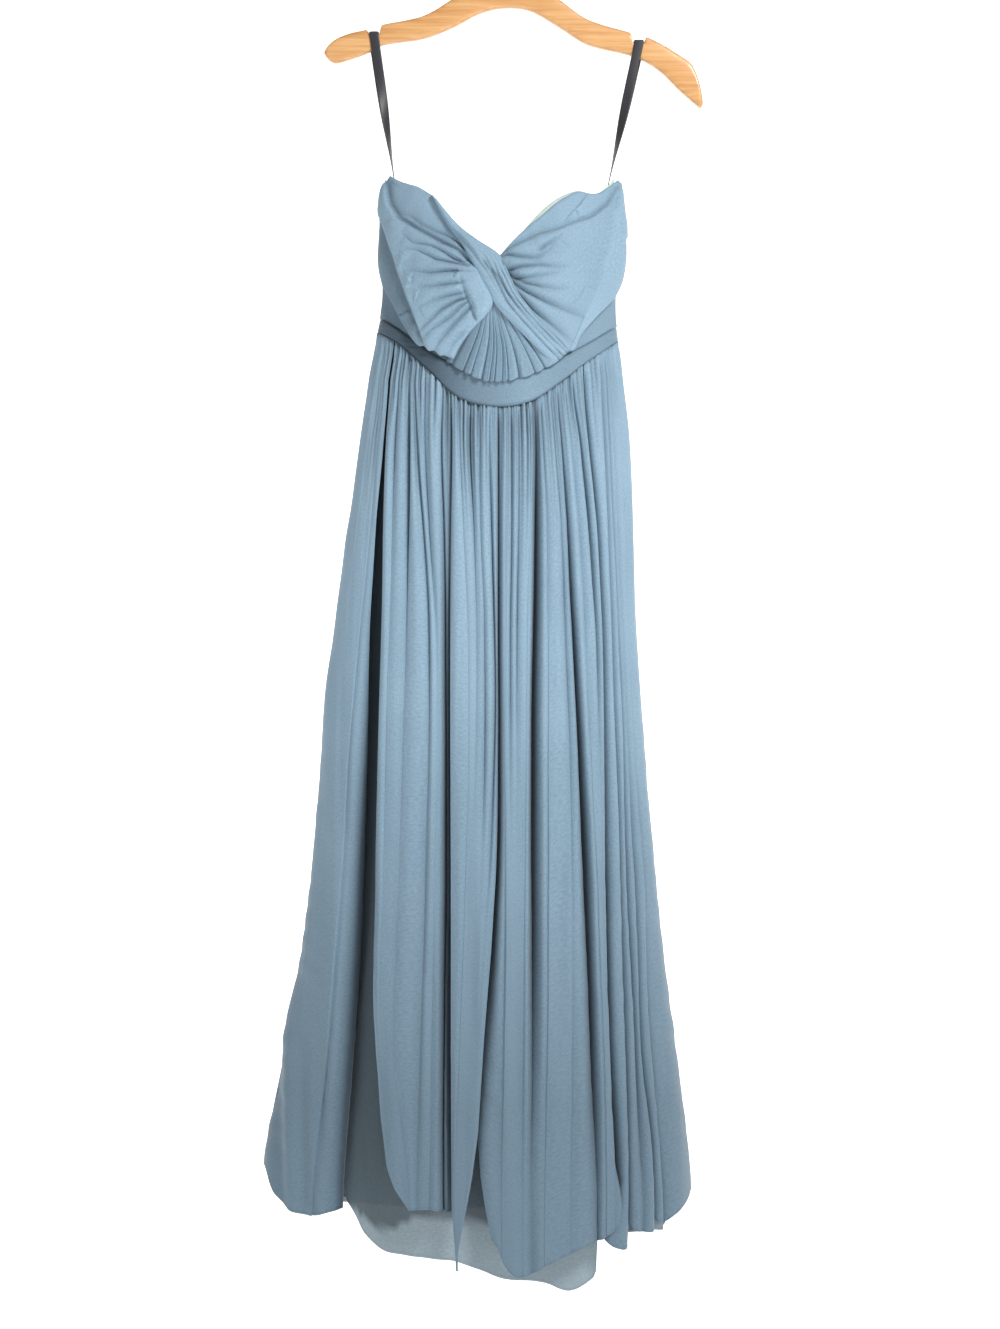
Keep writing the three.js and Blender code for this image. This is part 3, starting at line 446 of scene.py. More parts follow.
def height_on(points, x):
    """Height of a line where it crosses x."""
    line = on_line(points, np.linspace(0, 1, 240))
    return np.interp(x, line[:, 0], line[:, 1])


def inside(edges, u, v):
    """Place between four edges, at fractions u across and v down."""
    top, low = on_line(edges["top"], u), on_line(edges["bottom"], u)
    left, right = on_line(edges["left"], v), on_line(edges["right"], v)
    u, v = u[..., None], v[..., None]
    top_left, top_right = (np.array(edges["top"][i], float) for i in (0, -1))
    low_left, low_right = (np.array(edges["bottom"][i], float) for i in (0, -1))
    flat = (top_left * (1 - u) + top_right * u) * (1 - v) + (low_left * (1 - u) + low_right * u) * v
    spot = top * (1 - v) + low * v + left * (1 - u) + right * u - flat
    return spot[..., 0], spot[..., 1]


def ripple(x, z, seed, across, down):
    """Small uneven waves in the cloth, about 1 high, some across mm wide and down mm long."""
    dice = np.random.default_rng(seed)
    total = 0
    for _ in range(WAVES):
        a, b = dice.uniform(0.6, 1.7) / across, dice.uniform(-1, 1) / down
        total = total + np.sin(2 * math.pi * (a * x + b * z + dice.uniform()))
    return total / math.sqrt(WAVES)


def from_line(x, z, points):
    """Distance from a line, positive above or left of it, and how far along it the nearest place is."""
    line = np.array(points, float)
    steps = np.hypot(*np.diff(line, axis=0).T)
    done = np.concatenate(([0], np.cumsum(steps))) / steps.sum()
    best, sign, where = np.full(x.shape, 1e9), np.ones_like(x), np.zeros_like(x)
    for i in range(len(steps)):
        (ax, az), (bx, bz) = line[i], line[i + 1]
        dx, dz = bx - ax, bz - az
        t = np.clip(((x - ax) * dx + (z - az) * dz) / steps[i] ** 2, 0, 1)
        away = np.hypot(x - ax - t * dx, z - az - t * dz)
        closer = away < best
        best = np.where(closer, away, best)
        sign = np.where(closer, np.sign(dx * (z - az) - dz * (x - ax)), sign)
        where = np.where(closer, done[i] + t * (done[i + 1] - done[i]), where)
    return best * sign, where


def creased(x, z, creases, starts, puff):
    """Relief and shadow of a drape's creases: narrow valleys with puffed cloth between them.

    The creases are deepest where the gathering starts, at the first or the last point of their lines.
    """
    relief, shadow = np.zeros_like(x), np.zeros_like(x)
    over, under = np.full(x.shape, 1e3), np.full(x.shape, 1e3)
    pull_over, pull_under = np.zeros_like(x), np.zeros_like(x)
    for one in creases:
        away, where = from_line(x, z, one["line"])
        if starts == "last":
            where = 1 - where
        pull = (1 - where) ** 0.7 * np.clip(where / 0.04, 0.6, 1)
        fade = np.maximum(pull, 0.8) if one["step"] else pull
        soft = np.where(away > 0, one["above"], one["below"])
        dip = one["deep"] * fade * np.exp(-(np.abs(away) / soft) ** VALLEY_CURVE)
        relief -= dip
        shadow += dip / CREASE_SHADE_FULL
        closer = (away > 0) & (away < under)
        under, pull_under = np.where(closer, away, under), np.where(closer, pull, pull_under)
        closer = (away <= 0) & (-away < over)
        over, pull_over = np.where(closer, -away, over), np.where(closer, pull, pull_over)
        if one["step"]:
            turn = np.clip(away * np.sign(one["step"]), -30, 30) / STEP_WIDE
            lower = 1 / (1 + np.exp(-turn)) * np.exp(-np.abs(away) / STEP_FADES)
            relief -= abs(one["step"]) * lower
            shadow += one["shade"] * lower
    gap = over + under
    swell = np.sin(math.pi * np.clip(under / gap, 0, 1)) ** 0.8 * np.sqrt(pull_over * pull_under)
    return relief + puff * np.minimum(gap, PUFF_WIDEST) * swell * (gap < PUFF_REACH), shadow


# Making pieces

def finish_piece(obj, node_name):
    """Links a finished piece into the scene, sets what it moves with and hides the solid it stands for."""
    bpy.context.collection.objects.link(obj)
    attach(obj, "dress")
    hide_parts(node_name)


def smooth(mesh):
    mesh.polygons.foreach_set("use_smooth", [True] * len(mesh.polygons))


def cloth(name, grid, place, material, node_name, flat,
          hem=False, ring=False, thick=CLOTH):
    """A thin sheet of cloth on a grid of columns and rows, and the size it was cut to.

    place gives x, y, z and the painted shade of the fold at fractions across and down. A hemmed piece has
    close rows and a darker stitched line at its lower edge; a ring's two sides are joined.
    """
    columns, rows = grid
    shape = bmesh.new()
    bmesh.ops.create_grid(shape, x_segments=columns, y_segments=rows, size=0.5, calc_uvs=False)
    mesh = bpy.data.meshes.new(name)
    shape.to_mesh(mesh)
    shape.free()
    spots = np.empty(len(mesh.vertices) * 3)
    mesh.vertices.foreach_get("co", spots)
    spots = spots.reshape(-1, 3)
    u, v = spots[:, 0] + 0.5, 0.5 - spots[:, 1]
    if hem:
        v = np.interp(v * rows, [0, rows - 2, rows - 1, rows], [0, *HEM_ROWS, 1])
    points, shadow = place(np.clip(u, 0, 1), np.clip(v, 0, 1))
    mesh.vertices.foreach_set("co", (points * MM).ravel())
    corner = np.empty(len(mesh.loops), int)
    mesh.loops.foreach_get("vertex_index", corner)
    cut = mesh.uv_layers.new(name="cut")
    cut.data.foreach_set("uv", np.stack((u * flat[0], (1 - v) * flat[1]), -1)[corner].ravel())
    # The fold attribute carries the painted shade from place, with a hem's darker stitched line added.
    fold = mesh.attributes.new("fold", "FLOAT", "POINT")
    if hem:
        shadow = shadow + HEM_SHADE * (v > HEM_LINE)
    fold.data.foreach_set("value", np.clip(shadow, 0, 1).astype(np.float32))
    if ring:
        shape = bmesh.new()
        shape.from_mesh(mesh)
        bmesh.ops.remove_doubles(shape, verts=shape.verts, dist=1e-6)
        shape.to_mesh(mesh)
        shape.free()
    mesh.update()
    smooth(mesh)
    mesh.materials.append(material)
    obj = bpy.data.objects.new(name, mesh)
    wall = obj.modifiers.new("cloth thickness", "SOLIDIFY")
    wall.thickness = thick * MM
    wall.offset = -1
    finish_piece(obj, node_name)


# Materials

def shade(code):
    """Linear colour of an sRGB hex value."""
    parts = [int(code[i:i + 2], 16) / 255 for i in (1, 3, 5)]
    return tuple(c / 12.92 if c <= 0.04045 else ((c + 0.055) / 1.055) ** 2.4 for c in parts) + (1.0,)


def node(tree, kind, inputs=None, **settings):
    """Adds a node with its settings; each input takes a value or another node's output."""
    made = tree.nodes.new(kind)
    for key, value in settings.items():
        setattr(made, key, value)
    for key, value in (inputs or {}).items():
        if isinstance(value, bpy.types.NodeSocket):
            tree.links.new(value, made.inputs[key])
        else:
            made.inputs[key].default_value = value
    return made


def bare(name, **sockets):
    """A new material with its shader's constant values set."""
    material = bpy.data.materials.new(name)
    material.use_nodes = True
    tree = material.node_tree
    shader = tree.nodes["Principled BSDF"]
    for key, value in sockets.items():
        shader.inputs[key.replace("_", " ")].default_value = value
    return material, tree, shader


def patterned(tree, shader, pattern, dark, light, gloss=None, bump=None):
    """Lets a pattern set the colour between two shades, and where given the roughness and a fine relief."""
    mix = node(tree, "ShaderNodeMix", {"Factor": pattern, "A": dark, "B": light}, data_type="RGBA")
    tree.links.new(mix.outputs["Result"], shader.inputs["Base Color"])
    if gloss:
        least, most = gloss
        rough = node(tree, "ShaderNodeMapRange", {"Value": pattern, "To Min": least, "To Max": most})
        tree.links.new(rough.outputs["Result"], shader.inputs["Roughness"])
    if bump:
        strength, height = bump
        relief = node(tree, "ShaderNodeBump", {"Strength": strength, "Distance": height, "Height": pattern})
        tree.links.new(relief.outputs["Normal"], shader.inputs["Normal"])


def chiffon(name, high, middle, low, deep, alpha=1.0, crepe=0.6):
    """Polyester chiffon, woven from twisted yarn and piece-dyed.

    It gives the eye a matt face with a fine crepe grain, a faint bloom and a tone that drifts from high to
    middle in broad patches. Painted shade darkens it to low towards the hem, where the light falls off, and
    to the deep colour at the bottoms of folds and under the drapes.
    """
    material, tree, shader = bare(name, Roughness=0.78, Sheen_Weight=0.18, Sheen_Roughness=0.5, Alpha=alpha,
                                  Specular_IOR_Level=0.25)
    place = node(tree, "ShaderNodeTexCoord")
    cut = node(tree, "ShaderNodeUVMap", uv_map="cut")
    height = node(tree, "ShaderNodeSeparateXYZ", {"Vector": place.outputs["Object"]})
    # The crepe grain is about 0.4 mm on the cloth and is drawn at 2.9 mm, as coarse as it shows from afar.
    grain = node(tree, "ShaderNodeTexNoise", {
        "Vector": cut.outputs["UV"], "Scale": 350.0, "Detail": 3.0, "Roughness": 0.65})
    cloudy = node(tree, "ShaderNodeTexNoise", {
        "Vector": place.outputs["Object"], "Scale": 9.0, "Detail": 2.0})
    # Painted shade: the colour darkens towards low from the upper skirt down, as the light falls off
    # downwards.
    lower = node(tree, "ShaderNodeMapRange", {
        "Value": height.outputs["Z"], "From Min": -0.9, "From Max": -1.42})
    upper = node(tree, "ShaderNodeMapRange", {
        "Value": cloudy.outputs["Fac"], "From Min": 0.38, "From Max": 0.68})
    fold = node(tree, "ShaderNodeAttribute", attribute_name="fold")
    patches = node(tree, "ShaderNodeMix", {
        "Factor": upper.outputs["Result"], "A": shade(middle), "B": shade(high)}, data_type="RGBA")
    painted_hem_shade = node(tree, "ShaderNodeMix", {
        "Factor": lower.outputs["Result"], "A": patches.outputs["Result"], "B": shade(low)}, data_type="RGBA")
    speckle = node(tree, "ShaderNodeMapRange", {
        "Value": grain.outputs["Fac"], "From Min": 0.3, "From Max": 0.7, "To Min": 0.86, "To Max": 1.12})
    grey = node(tree, "ShaderNodeCombineColor", {
        channel: speckle.outputs["Result"] for channel in ("Red", "Green", "Blue")})
    grained = node(tree, "ShaderNodeMix", {
        "Factor": 1.0, "A": painted_hem_shade.outputs["Result"], "B": grey.outputs["Color"]},
        data_type="RGBA", blend_type="MULTIPLY")
    # Painted shade: the fold attribute mixes in the deep colour in creases, valleys, recesses and under
    # drapes, and along a hem's real darker stitched line.
    painted_fold_shade = node(tree, "ShaderNodeMix", {
        "Factor": fold.outputs["Fac"], "A": grained.outputs["Result"], "B": shade(deep)}, data_type="RGBA")
    tree.links.new(painted_fold_shade.outputs["Result"], shader.inputs["Base Color"])
    bump = node(tree, "ShaderNodeBump", {
        "Strength": crepe, "Distance": 0.0004, "Height": grain.outputs["Fac"]})
    tree.links.new(bump.outputs["Normal"], shader.inputs["Normal"])
    return material


# Each chiffon's third colour is the painted shade towards the hem, and its last is the painted shade in
# folds.
CHIFFON = chiffon("polyester chiffon, dusty blue", "#97B4C8", "#90ADC1", "#6D8494", "#2B3945")
SHEER = chiffon("sheer under-skirt chiffon", "#9FB3C0", "#98ACB9", "#97A9B2", "#35434D", alpha=0.88)
LINING = chiffon("taffeta lining, pale mint", "#DCEAE6", "#D3E4DF", "#D3E4DF", "#8FA5A2", crepe=0.1)


def beech():
    """Beech, machined and clear varnished: honey yellow, fine grain along the arm and a soft gloss."""
    material, tree, shader = bare("beech, clear varnished", Coat_Weight=0.5, Coat_Roughness=0.12)
    place = node(tree, "ShaderNodeTexCoord")
    run = node(tree, "ShaderNodeMapping", {
        "Vector": place.outputs["Object"], "Rotation": (0, math.radians(14), 0),
        "Scale": (6.0, 160.0, 160.0)})
    # Growth lines stand about 3 mm apart, with pores of 0.2 mm drawn at 1 mm.
    growth = node(tree, "ShaderNodeTexNoise", {
        "Vector": run.outputs["Vector"], "Scale": 1.6, "Detail": 5.0, "Roughness": 0.6})
    pores = node(tree, "ShaderNodeTexNoise", {"Vector": run.outputs["Vector"], "Scale": 6.0, "Detail": 2.0})
    tone = node(tree, "ShaderNodeMapRange", {
        "Value": growth.outputs["Fac"], "From Min": 0.35, "From Max": 0.68})
    fleck = node(tree, "ShaderNodeMapRange", {
        "Value": pores.outputs["Fac"], "From Min": 0.58, "From Max": 0.75, "To Max": 0.35})
    grown = node(tree, "ShaderNodeMix", {
        "Factor": tone.outputs["Result"], "A": shade("#D0965B"), "B": shade("#E9B67C")}, data_type="RGBA")
    flecked = node(tree, "ShaderNodeMix", {
        "Factor": fleck.outputs["Result"], "A": grown.outputs["Result"], "B": shade("#B97D45")},
        data_type="RGBA")
    tree.links.new(flecked.outputs["Result"], shader.inputs["Base Color"])
    gloss = node(tree, "ShaderNodeMapRange", {"Value": growth.outputs["Fac"], "To Min": 0.32, "To Max": 0.5})
    tree.links.new(gloss.outputs["Result"], shader.inputs["Roughness"])
    bump = node(tree, "ShaderNodeBump", {
        "Strength": 0.12, "Distance": 0.0003, "Height": growth.outputs["Fac"]})
    tree.links.new(bump.outputs["Normal"], shader.inputs["Normal"])
    return material


def satin_ribbon():
    """Polyester satin ribbon, woven: near black with a soft lengthwise gloss."""
    material, tree, shader = bare("polyester satin ribbon, black", Sheen_Weight=0.15)
    cut = node(tree, "ShaderNodeUVMap", uv_map="cut")
    # Yarns of 0.15 mm are drawn at 0.8 mm.
    ribs = node(tree, "ShaderNodeTexWave", {
        "Vector": cut.outputs["UV"], "Scale": 200.0, "Distortion": 0.6, "Detail": 1.0}, bands_direction="Y")
    patterned(tree, shader, ribs.outputs["Fac"], shade("#26262A"), shade("#3A3A3F"),
              gloss=(0.36, 0.5), bump=(0.2, 0.0002))
    return material


def steel_wire():
    """Steel wire, drawn, bent and nickel plated: bright, with faint draw marks."""
    material, tree, shader = bare("nickel-plated steel wire", Metallic=1.0)
    place = node(tree, "ShaderNodeTexCoord")
    marks = node(tree, "ShaderNodeTexNoise", {
        "Vector": place.outputs["Object"], "Scale": 260.0, "Detail": 3.0})
    patterned(tree, shader, marks.outputs["Fac"], shade("#B9BBBD"), shade("#DADCDD"), gloss=(0.18, 0.34))
    return material


def zip_tape_cloth():
    """Polyester zip tape, woven and dyed to match: matt with close ribs across."""
    material, tree, shader = bare("woven zip tape, dusty blue", Roughness=0.8)
    place = node(tree, "ShaderNodeTexCoord")
    # Ribs of 0.5 mm are drawn at 1.5 mm.
    ribs = node(tree, "ShaderNodeTexWave", {
        "Vector": place.outputs["Object"], "Scale": 110.0}, bands_direction="Z")
    patterned(tree, shader, ribs.outputs["Fac"], shade("#6F8597"), shade("#8FA5B5"), bump=(0.4, 0.0003))
    return material


WOOD = beech()
RIBBON = satin_ribbon()
STEEL = steel_wire()
TAPE = zip_tape_cloth()


# Bodice

def band_place(top, low, out, relief):
    """Places between two lines that run from side seam to side seam."""
    def place(u, v):
        sine = np.sin((2 * u - 1) * math.pi / 2)
        x = CENTRE_X + BODICE_HALF * sine
        for _ in range(4):
            z = height_on(top, x) * (1 - v) + height_on(low, x) * v
            x = CENTRE_X + np.where(sine < 0, size_at("left", z), size_at("right", z)) * sine
        lift, shadow = relief(x, z, v)
        return seen(x, z, out + lift), shadow
    return place


def no_relief(x, z, v):
    return 0 * x, 0 * x


def band_relief(x, z, v):
    """Faint creases along the waistband, with a sunk seam and its shadow at both edges."""
    creases = 0.35 * ripple(z, x, 51, 7, 120) * np.sin(math.pi * v)
    seam = -SEAM_DEEP * (np.exp(-((v - 0.06) / 0.05) ** 2) + np.exp(-((v - 0.95) / 0.05) ** 2))
    shadow = np.interp(x, [at for at, _ in BAND_SHADE], [dark for _, dark in BAND_SHADE])
    return creases + seam, shadow + 0.3 * np.exp(-(np.minimum(v, 1 - v) / 0.06) ** 2)


def side_place(top, start, end, out, shadow, seed):
    """Places of a plain side panel over the waistband, between angles in degrees from the centre front."""
    def place(u, v):
        angle = np.radians(start + (end - start) * u)
        guess = CENTRE_X + BODICE_HALF * np.sin(angle)
        z = height_on(top, guess) * (1 - v) + height_on(BAND_TOP, guess) * v
        half = np.where(angle < 0, size_at("left", z), size_at("right", z))
        x = CENTRE_X + half * np.sin(angle)
        z = height_on(top, x) * (1 - v) + (height_on(BAND_TOP, x) + SEAM_GAP) * v
        sunk = out * (1 - np.abs(angle / (math.pi / 2)) ** 8)
        return seen(x, z, sunk + FAINT * ripple(x, z, seed, 16, 60)), 0 * u + shadow
    return place


def drape_place(edges, creases, starts, seed):
    """Places of a cup's gathered drape: it crowns between its edges, with creases and small gathers."""
    def place(u, v):
        x, z = inside(edges, u, v)
        relief, shadow = creased(x, z, creases, starts, 0.3)
        fine = 0.3 * ripple(x, z, seed, 30, 34)
        edge = np.clip(np.minimum(np.minimum(u, 1 - u), np.minimum(v, 1 - v)) / DRAPE_RIM, 0, 1)
        bust = BUST * np.sin(math.pi * u) * np.sin(math.pi * np.clip(v * 0.95, 0, 1))
        lift = (DRAPE_OUT + DRAPE_CROWN * (0.2 + 0.8 * np.sqrt(1 - (1 - edge) ** 2)) + bust
                + 1.25 * relief * (0.4 + 0.6 * edge) + fine)
        return seen(x, z, lift), np.clip(shadow, 0, 0.62)
    return place


def twist_place(u, v):
    """Places of the twist: a soft roll that narrows to its ends, with lengthwise creases and strands."""
    x, z = inside(TWIST, u, v)
    relief, shadow = creased(x, z, CREASES_TWIST, "first", 0.2)
    split = 0.62 - 0.3 * v
    strand = np.where(u < split, 1 - np.exp(-(split - u) / 0.05),
                      np.abs(np.sin(math.pi * TWIST_STRANDS * (u - split) / (1 - split))) ** 0.7)
    spread = np.clip((v - 0.3) * 5, 0, 1)
    lift = TWIST_OUT * (1 - v ** 8) + TWIST_ROLL * np.sin(math.pi * u) ** 0.6 * (1 - 0.4 * v ** 6)
    lift = lift + relief + STRAND_DEEP * spread * (strand - 0.6)
    # Painted shade where the twist's end tucks in, and in the hollows between the strands.
    painted_end_shade = 0.6 * u * np.clip((v - 0.97) / 0.03, 0, 1)
    shadow = 0.7 * shadow + 0.9 * spread * np.clip(0.5 - strand, 0, 1) + painted_end_shade
    return seen(x, z, lift + 0.2 * ripple(x + z, x - z, 31, 9, 60)), np.clip(shadow, 0, 0.55)


def fan_place(u, v):
    """Places of the fan: knife pleats that open from the twist to the waistband."""
    even = u * FAN_PLEATS
    wander = even + 0.18 * np.sin(even * 2.4)
    part = wander - np.floor(wander)
    x, z = inside(FAN, u, v)
    pleat = np.where(part < PLEAT_FACE, part / PLEAT_FACE, (1 - part) / (1 - PLEAT_FACE))
    opened = v * PLEAT_DEEP * pleat * np.clip(u / 0.08, 0.2, 1)
    lift = 0.2 + 0.8 * (1 - v) + opened + 0.15 * ripple(x, z, 41, 6, 30)
    z = z - PLEAT_DROP * v ** 6 * np.sin(math.pi * part)
    # Painted shade: a shadow where the fan runs under the cup's edge, a faint even shade, and shade in each
    # pleat's fold.
    painted_cup_shadow = 0.45 * np.exp(-(u / 0.18) ** 2)
    shadow = 0.1 + painted_cup_shadow + 0.75 * np.exp(-(part / 0.18) ** 2) * v ** 0.3
    return seen(x, z, lift), np.clip(shadow, 0, 0.75)


def bodice():
    """Lining, waistband, side panels, cup drapes, twist and fan."""
    # The lining's edge hides under the left cup and shows as a strip over the right one.
    neck = [(x, z - LINING_IN) for x, z in NECK_LEFT] + NECK_RIGHT[2:]
    cloth("lining_front", (120, 30), band_place(neck, WAIST, -LINING_IN, no_relief), LINING,
          "bodice_lining", (0.37, 0.28))
    cloth("waistband_front", (150, 22), band_place(BAND_TOP, WAIST, -BAND_IN, band_relief), CHIFFON,
          "band_front", (0.38, 0.05))
    # The side panels take an even painted shade, deeper on the left where the cup shades it and the side
    # faces away from the light.
    cloth("side_panel_left", (24, 24), side_place(SIDE_LEFT_TOP, -90, -22.5, -4.0, 0.5, 61), CHIFFON,
          "bodice_side_left", (0.13, 0.09))
    cloth("side_panel_right", (24, 24), side_place(SIDE_RIGHT_TOP, 30, 90, -3.0, 0.24, 62), CHIFFON,
          "bodice_side_right", (0.12, 0.09))
    cloth("cup_drape_left", (110, 150), drape_place(CUP_LEFT, CREASES_LEFT, "last", 71), CHIFFON,
          "cup_left", (0.15, 0.21))
    cloth("cup_drape_right", (120, 150), drape_place(CUP_RIGHT, CREASES_RIGHT, "first", 75), CHIFFON,
          "cup_right", (0.17, 0.19))
    cloth("twist_roll", (40, 150), twist_place, CHIFFON, "twist_band", (0.045, 0.28))
    cloth("pleated_fan", (216, 30), fan_place, CHIFFON, "fan", (0.13, 0.09))


# Skirt

def at_station(values, z):
    """A fold's place or depth at a height, eased between the stations."""
    s = np.interp(-z, [-h for h in STATIONS], range(len(STATIONS)))
    column = np.array(values, float)[:, None]
    return on_line(column, s / (len(STATIONS) - 1))[..., 0]


def fold_lines(rows, z, seed):
    """Each valley's x at the heights z; a panel's free edge takes its own line near the hem."""
    lines = []
    above = np.maximum(z, STATIONS[0])
    for k, row in enumerate(rows):
        if row["seam"]:
            turned = -1 if row["seam"] == "left" else 1
            lines.append(CENTRE_X + turned * (size_at(row["seam"], z) + 0.2))
            continue
        x = at_station(row["x"], z)
        if 0 < k < len(rows) - 1:
            x = x + 0.5 * np.sin(z / 83 + 1.7 * k + seed) + 0.15 * np.sin(z / 31 + 2.9 * k + seed)
        if row["edge"]:
            edge = np.array(row["edge"], float)
            x = np.where(z < edge[0, 0], np.interp(-z, -edge[:, 0], edge[:, 1]), x)
        # Above the first station the valleys spread or close up with the gown's own width.
        half = np.where(x < CENTRE_X, size_at("left", above) / size_at("left", STATIONS[0]),
                        size_at("right", above) / size_at("right", STATIONS[0]))
        lines.append(CENTRE_X + (x - CENTRE_X) * half)
    if rows[0]["drawn_in"]:
        first, last = at_station(rows[0]["x"], z), at_station(rows[-1]["x"], z)
        below = z < STATIONS[-3]
        for k in range(1, len(lines) - 1):
            drawn = lines[0] + (lines[k] - first) * (lines[-1] - lines[0]) / (last - first)
            lines[k] = np.where(below, drawn, lines[k])
    for k in range(1, len(lines)):
        lines[k] = np.maximum(lines[k], lines[k - 1] + 0.5)
    return lines


def even_hem(rows):
    """Height of a hem that runs smoothly through the valleys, at a fraction f of the way past valley k."""
    heights = np.array([row["hem"] for row in rows], float)[:, None]
    return lambda k, f: on_line(heights, (k + f) / (len(rows) - 1))[..., 0]


def lobed_hem(rows, corner):
    """Height of a hem of hanging lobes: it rises by corner where a lobe ends, at a pair and at both sides."""
    pairs = [row["hem"] if isinstance(row["hem"], tuple) else (row["hem"], row["hem"]) for row in rows]
    start, end = np.array([right for _, right in pairs[:-1]]), np.array([left for left, _ in pairs[1:]])
    rounded = np.array([isinstance(row["hem"], tuple) for row in rows], float)
    rounded[[0, -1]] = 1

    def height(k, f):
        return (start[k] * (1 - f) + end[k] * f + corner * rounded[:-1][k] * np.clip(1 - 2 * f, 0, 1) ** 3
                + corner * rounded[1:][k] * np.clip(2 * f - 1, 0, 1) ** 3)
    return height


def flank(deep, keen, soft, wide, low, f):
    """How far a valley's flank sinks at a fraction f of the way to the next valley."""
    away = f * wide
    reach = soft + (0.16 + 0.3 * low * (1 - keen)) * wide
    slit = SLIT_SHARE * keen
    return deep * (slit * np.exp(-(away / SLIT_WIDE) ** 1.1)
                   + (1 - slit) * np.exp(-(away / reach) ** 1.6) * (1 - f ** 2))


def panel_place(rows, corner, seed):
    """Places of a gathered panel: folds between uneven valleys, and gathers that fade below the waist."""
    count = len(rows) - 1
    dice = np.random.default_rng(seed)
    gathers = []
    for middle in GATHER_AT:
        drawn = [(middle + dice.uniform(-0.09, 0.09), dice.uniform(*GATHER_DEEP), dice.uniform(*GATHER_LONG))
                 for _ in range(count)]
        gathers.append(np.array(drawn).T)
    leans = dice.uniform(0.65, 1.5, count)
    flips = dice.uniform(0, 1, count) > 0.5
    hem = lobed_hem(rows, corner) if corner else even_hem(rows)
    keen = np.array([row["keen"] for row in rows])
    soft = np.array([row["soft"] for row in rows])

    def place(u, v):
        s = np.clip(u * count, 0, count - 1e-6)
        k = s.astype(int)
        f = 0.5 - 0.5 * np.cos(math.pi * (s - k))
        each = np.arange(len(u))

        def across(z):
            """Each point's x between its two valleys, and how wide they stand, at the heights z."""
            lines = np.array(fold_lines(rows, z, seed))
            left, right = lines[k, each], lines[k + 1, each]
            return left * (1 - f) + right * f, right - left

        top = np.full(u.shape, float(STATIONS[0]))
        for _ in range(2):
            top = height_on(WAIST, across(top)[0]) - SEAM_GAP
        z = top * (1 - v) + hem(k, f) * v
        x, wide = across(z)
        down = top - z
        low = np.clip((down - LOW_FROM) / LOW_OVER, 0, 1)
        # The folds start half as deep at the seam, swell just under it and then take their own depths.
        ease = np.clip(0.5 + down / 36, 0.5, 1) * (1 + 0.35 * np.exp(-down / 90))
        depths = np.array([at_station(row["deep"], z) for row in rows])
        left_deep, right_deep = ease * depths[k, each], ease * depths[k + 1, each]
        left_keen = keen[k] * np.clip((left_deep - 2) / 5, 0, 1)
        right_keen = keen[k + 1] * np.clip((right_deep - 2) / 5, 0, 1)
        first = flank(left_deep, left_keen, soft[k, 1], wide, low, f)
        second = flank(right_deep, right_keen, soft[k + 1, 0], wide, low, 1 - f)
        third = 0
        room = np.clip((wide - 4) / 8, 0.15, 1)
        for at, deep, long in gathers:
            third = third + (room * deep[k] * np.exp(-(down / long[k]) ** 2)
                             * np.exp(-np.abs((f - at[k]) * wide / GATHER_WIDE) ** 1.3))
        # A fold crowns as a bow; where its valleys are keen it lies over to one side as a pleat.
        full = np.minimum(0.26 * wide, 0.3 * (left_deep + right_deep) + 1.4 * np.exp(-down / 120))
        bow = np.sin(math.pi * f ** leans[k])
        g = np.where(flips[k], 1 - f, f)
        pleat = (g + 0.3 * np.sin(math.pi * g)) * (1 - np.exp(-(1 - g) / 0.13))
        pleated = np.clip(left_keen * (1 - f) + right_keen * f + 0.5 * (1 - low), 0, 1)
        crown = full * ((0.4 * bow + 0.7 * pleat) * pleated + bow ** 2 * (1 - pleated)) - 0.6 * full
        pucker = PUCKER_DEEP * np.exp(-down / PUCKER_LONG) * np.sin(x * 2.0 + 2 * np.sin(x * 0.7))
        broad = (low * 1.6 * ripple(x, z, seed + 2, 40, 420)
                 + 0.25 * (1 - 0.8 * low) * ripple(x, z, seed + 1, 14, 260)
                 + low * 0.45 * ripple(0.8 * x + 0.5 * z, z, seed + 3, 34, 60))
        relief = crown - first - second - third + pucker + broad
        # Painted shade in the valleys and gathers, darker where they are deeper.
        shadow = np.clip((first + second + 1.5 * third) / FOLD_SHADE_FULL - 0.12, 0, 0.85)
        return seen(x, z, relief), shadow
    return place


def skirt():
    """The five front panels."""
    for i, (name, panel) in enumerate(SKIRT.items()):
        rows = panel["rows"]
        wide, tall, area = panel["cut"]
        cloth("panel_" + name, (14 * (len(rows) - 1), 170), panel_place(rows, panel["corner"], 100 + 7 * i),
              CHIFFON, name, (wide, tall), hem=True)


# Back

def back_place(end, top, low, gap, relief):
    """Places of a piece of the back half: k is 0 at the side seam and 1 at the centre back."""
    side, left = BACK_SIDE[end], end == "left"

    def place(u, v):
        k = 1 - u if left else u
        ease = np.sin(k * math.pi / 2)
        upper = side[top] + (BACK_MIDDLE[top] - side[top]) * ease
        lower = side[low] + (BACK_MIDDLE[low] - side[low]) * ease + gap
        if low == "hem":
            # Beside the seam the back hem turns up to the front's rounded corner.
            from_seam = size_at(end, BACK_SIDE["left"]["hem"]) * (1 - np.cos(k * math.pi / 2))
            lower = lower + HEM_TURN * np.exp(-from_seam / HEM_TURN_WIDE)
        z = upper * (1 - v) + lower * v
        start = math.pi / 2 - BACK_OVERLAP / size_at("back", z)
        turn = start + (math.pi - 0.5 / size_at(end, z) - start) * k
        lift, shadow = relief(k, v, z, upper - z)
        return skin(-turn if left else turn, z, lift), shadow
    return place


def under_front(k):
    """How far the plain back pieces stand in from the skin: they tuck under the front at the side seam."""
    return -0.4 - 1.5 * np.exp(-(k / 0.025) ** 2)


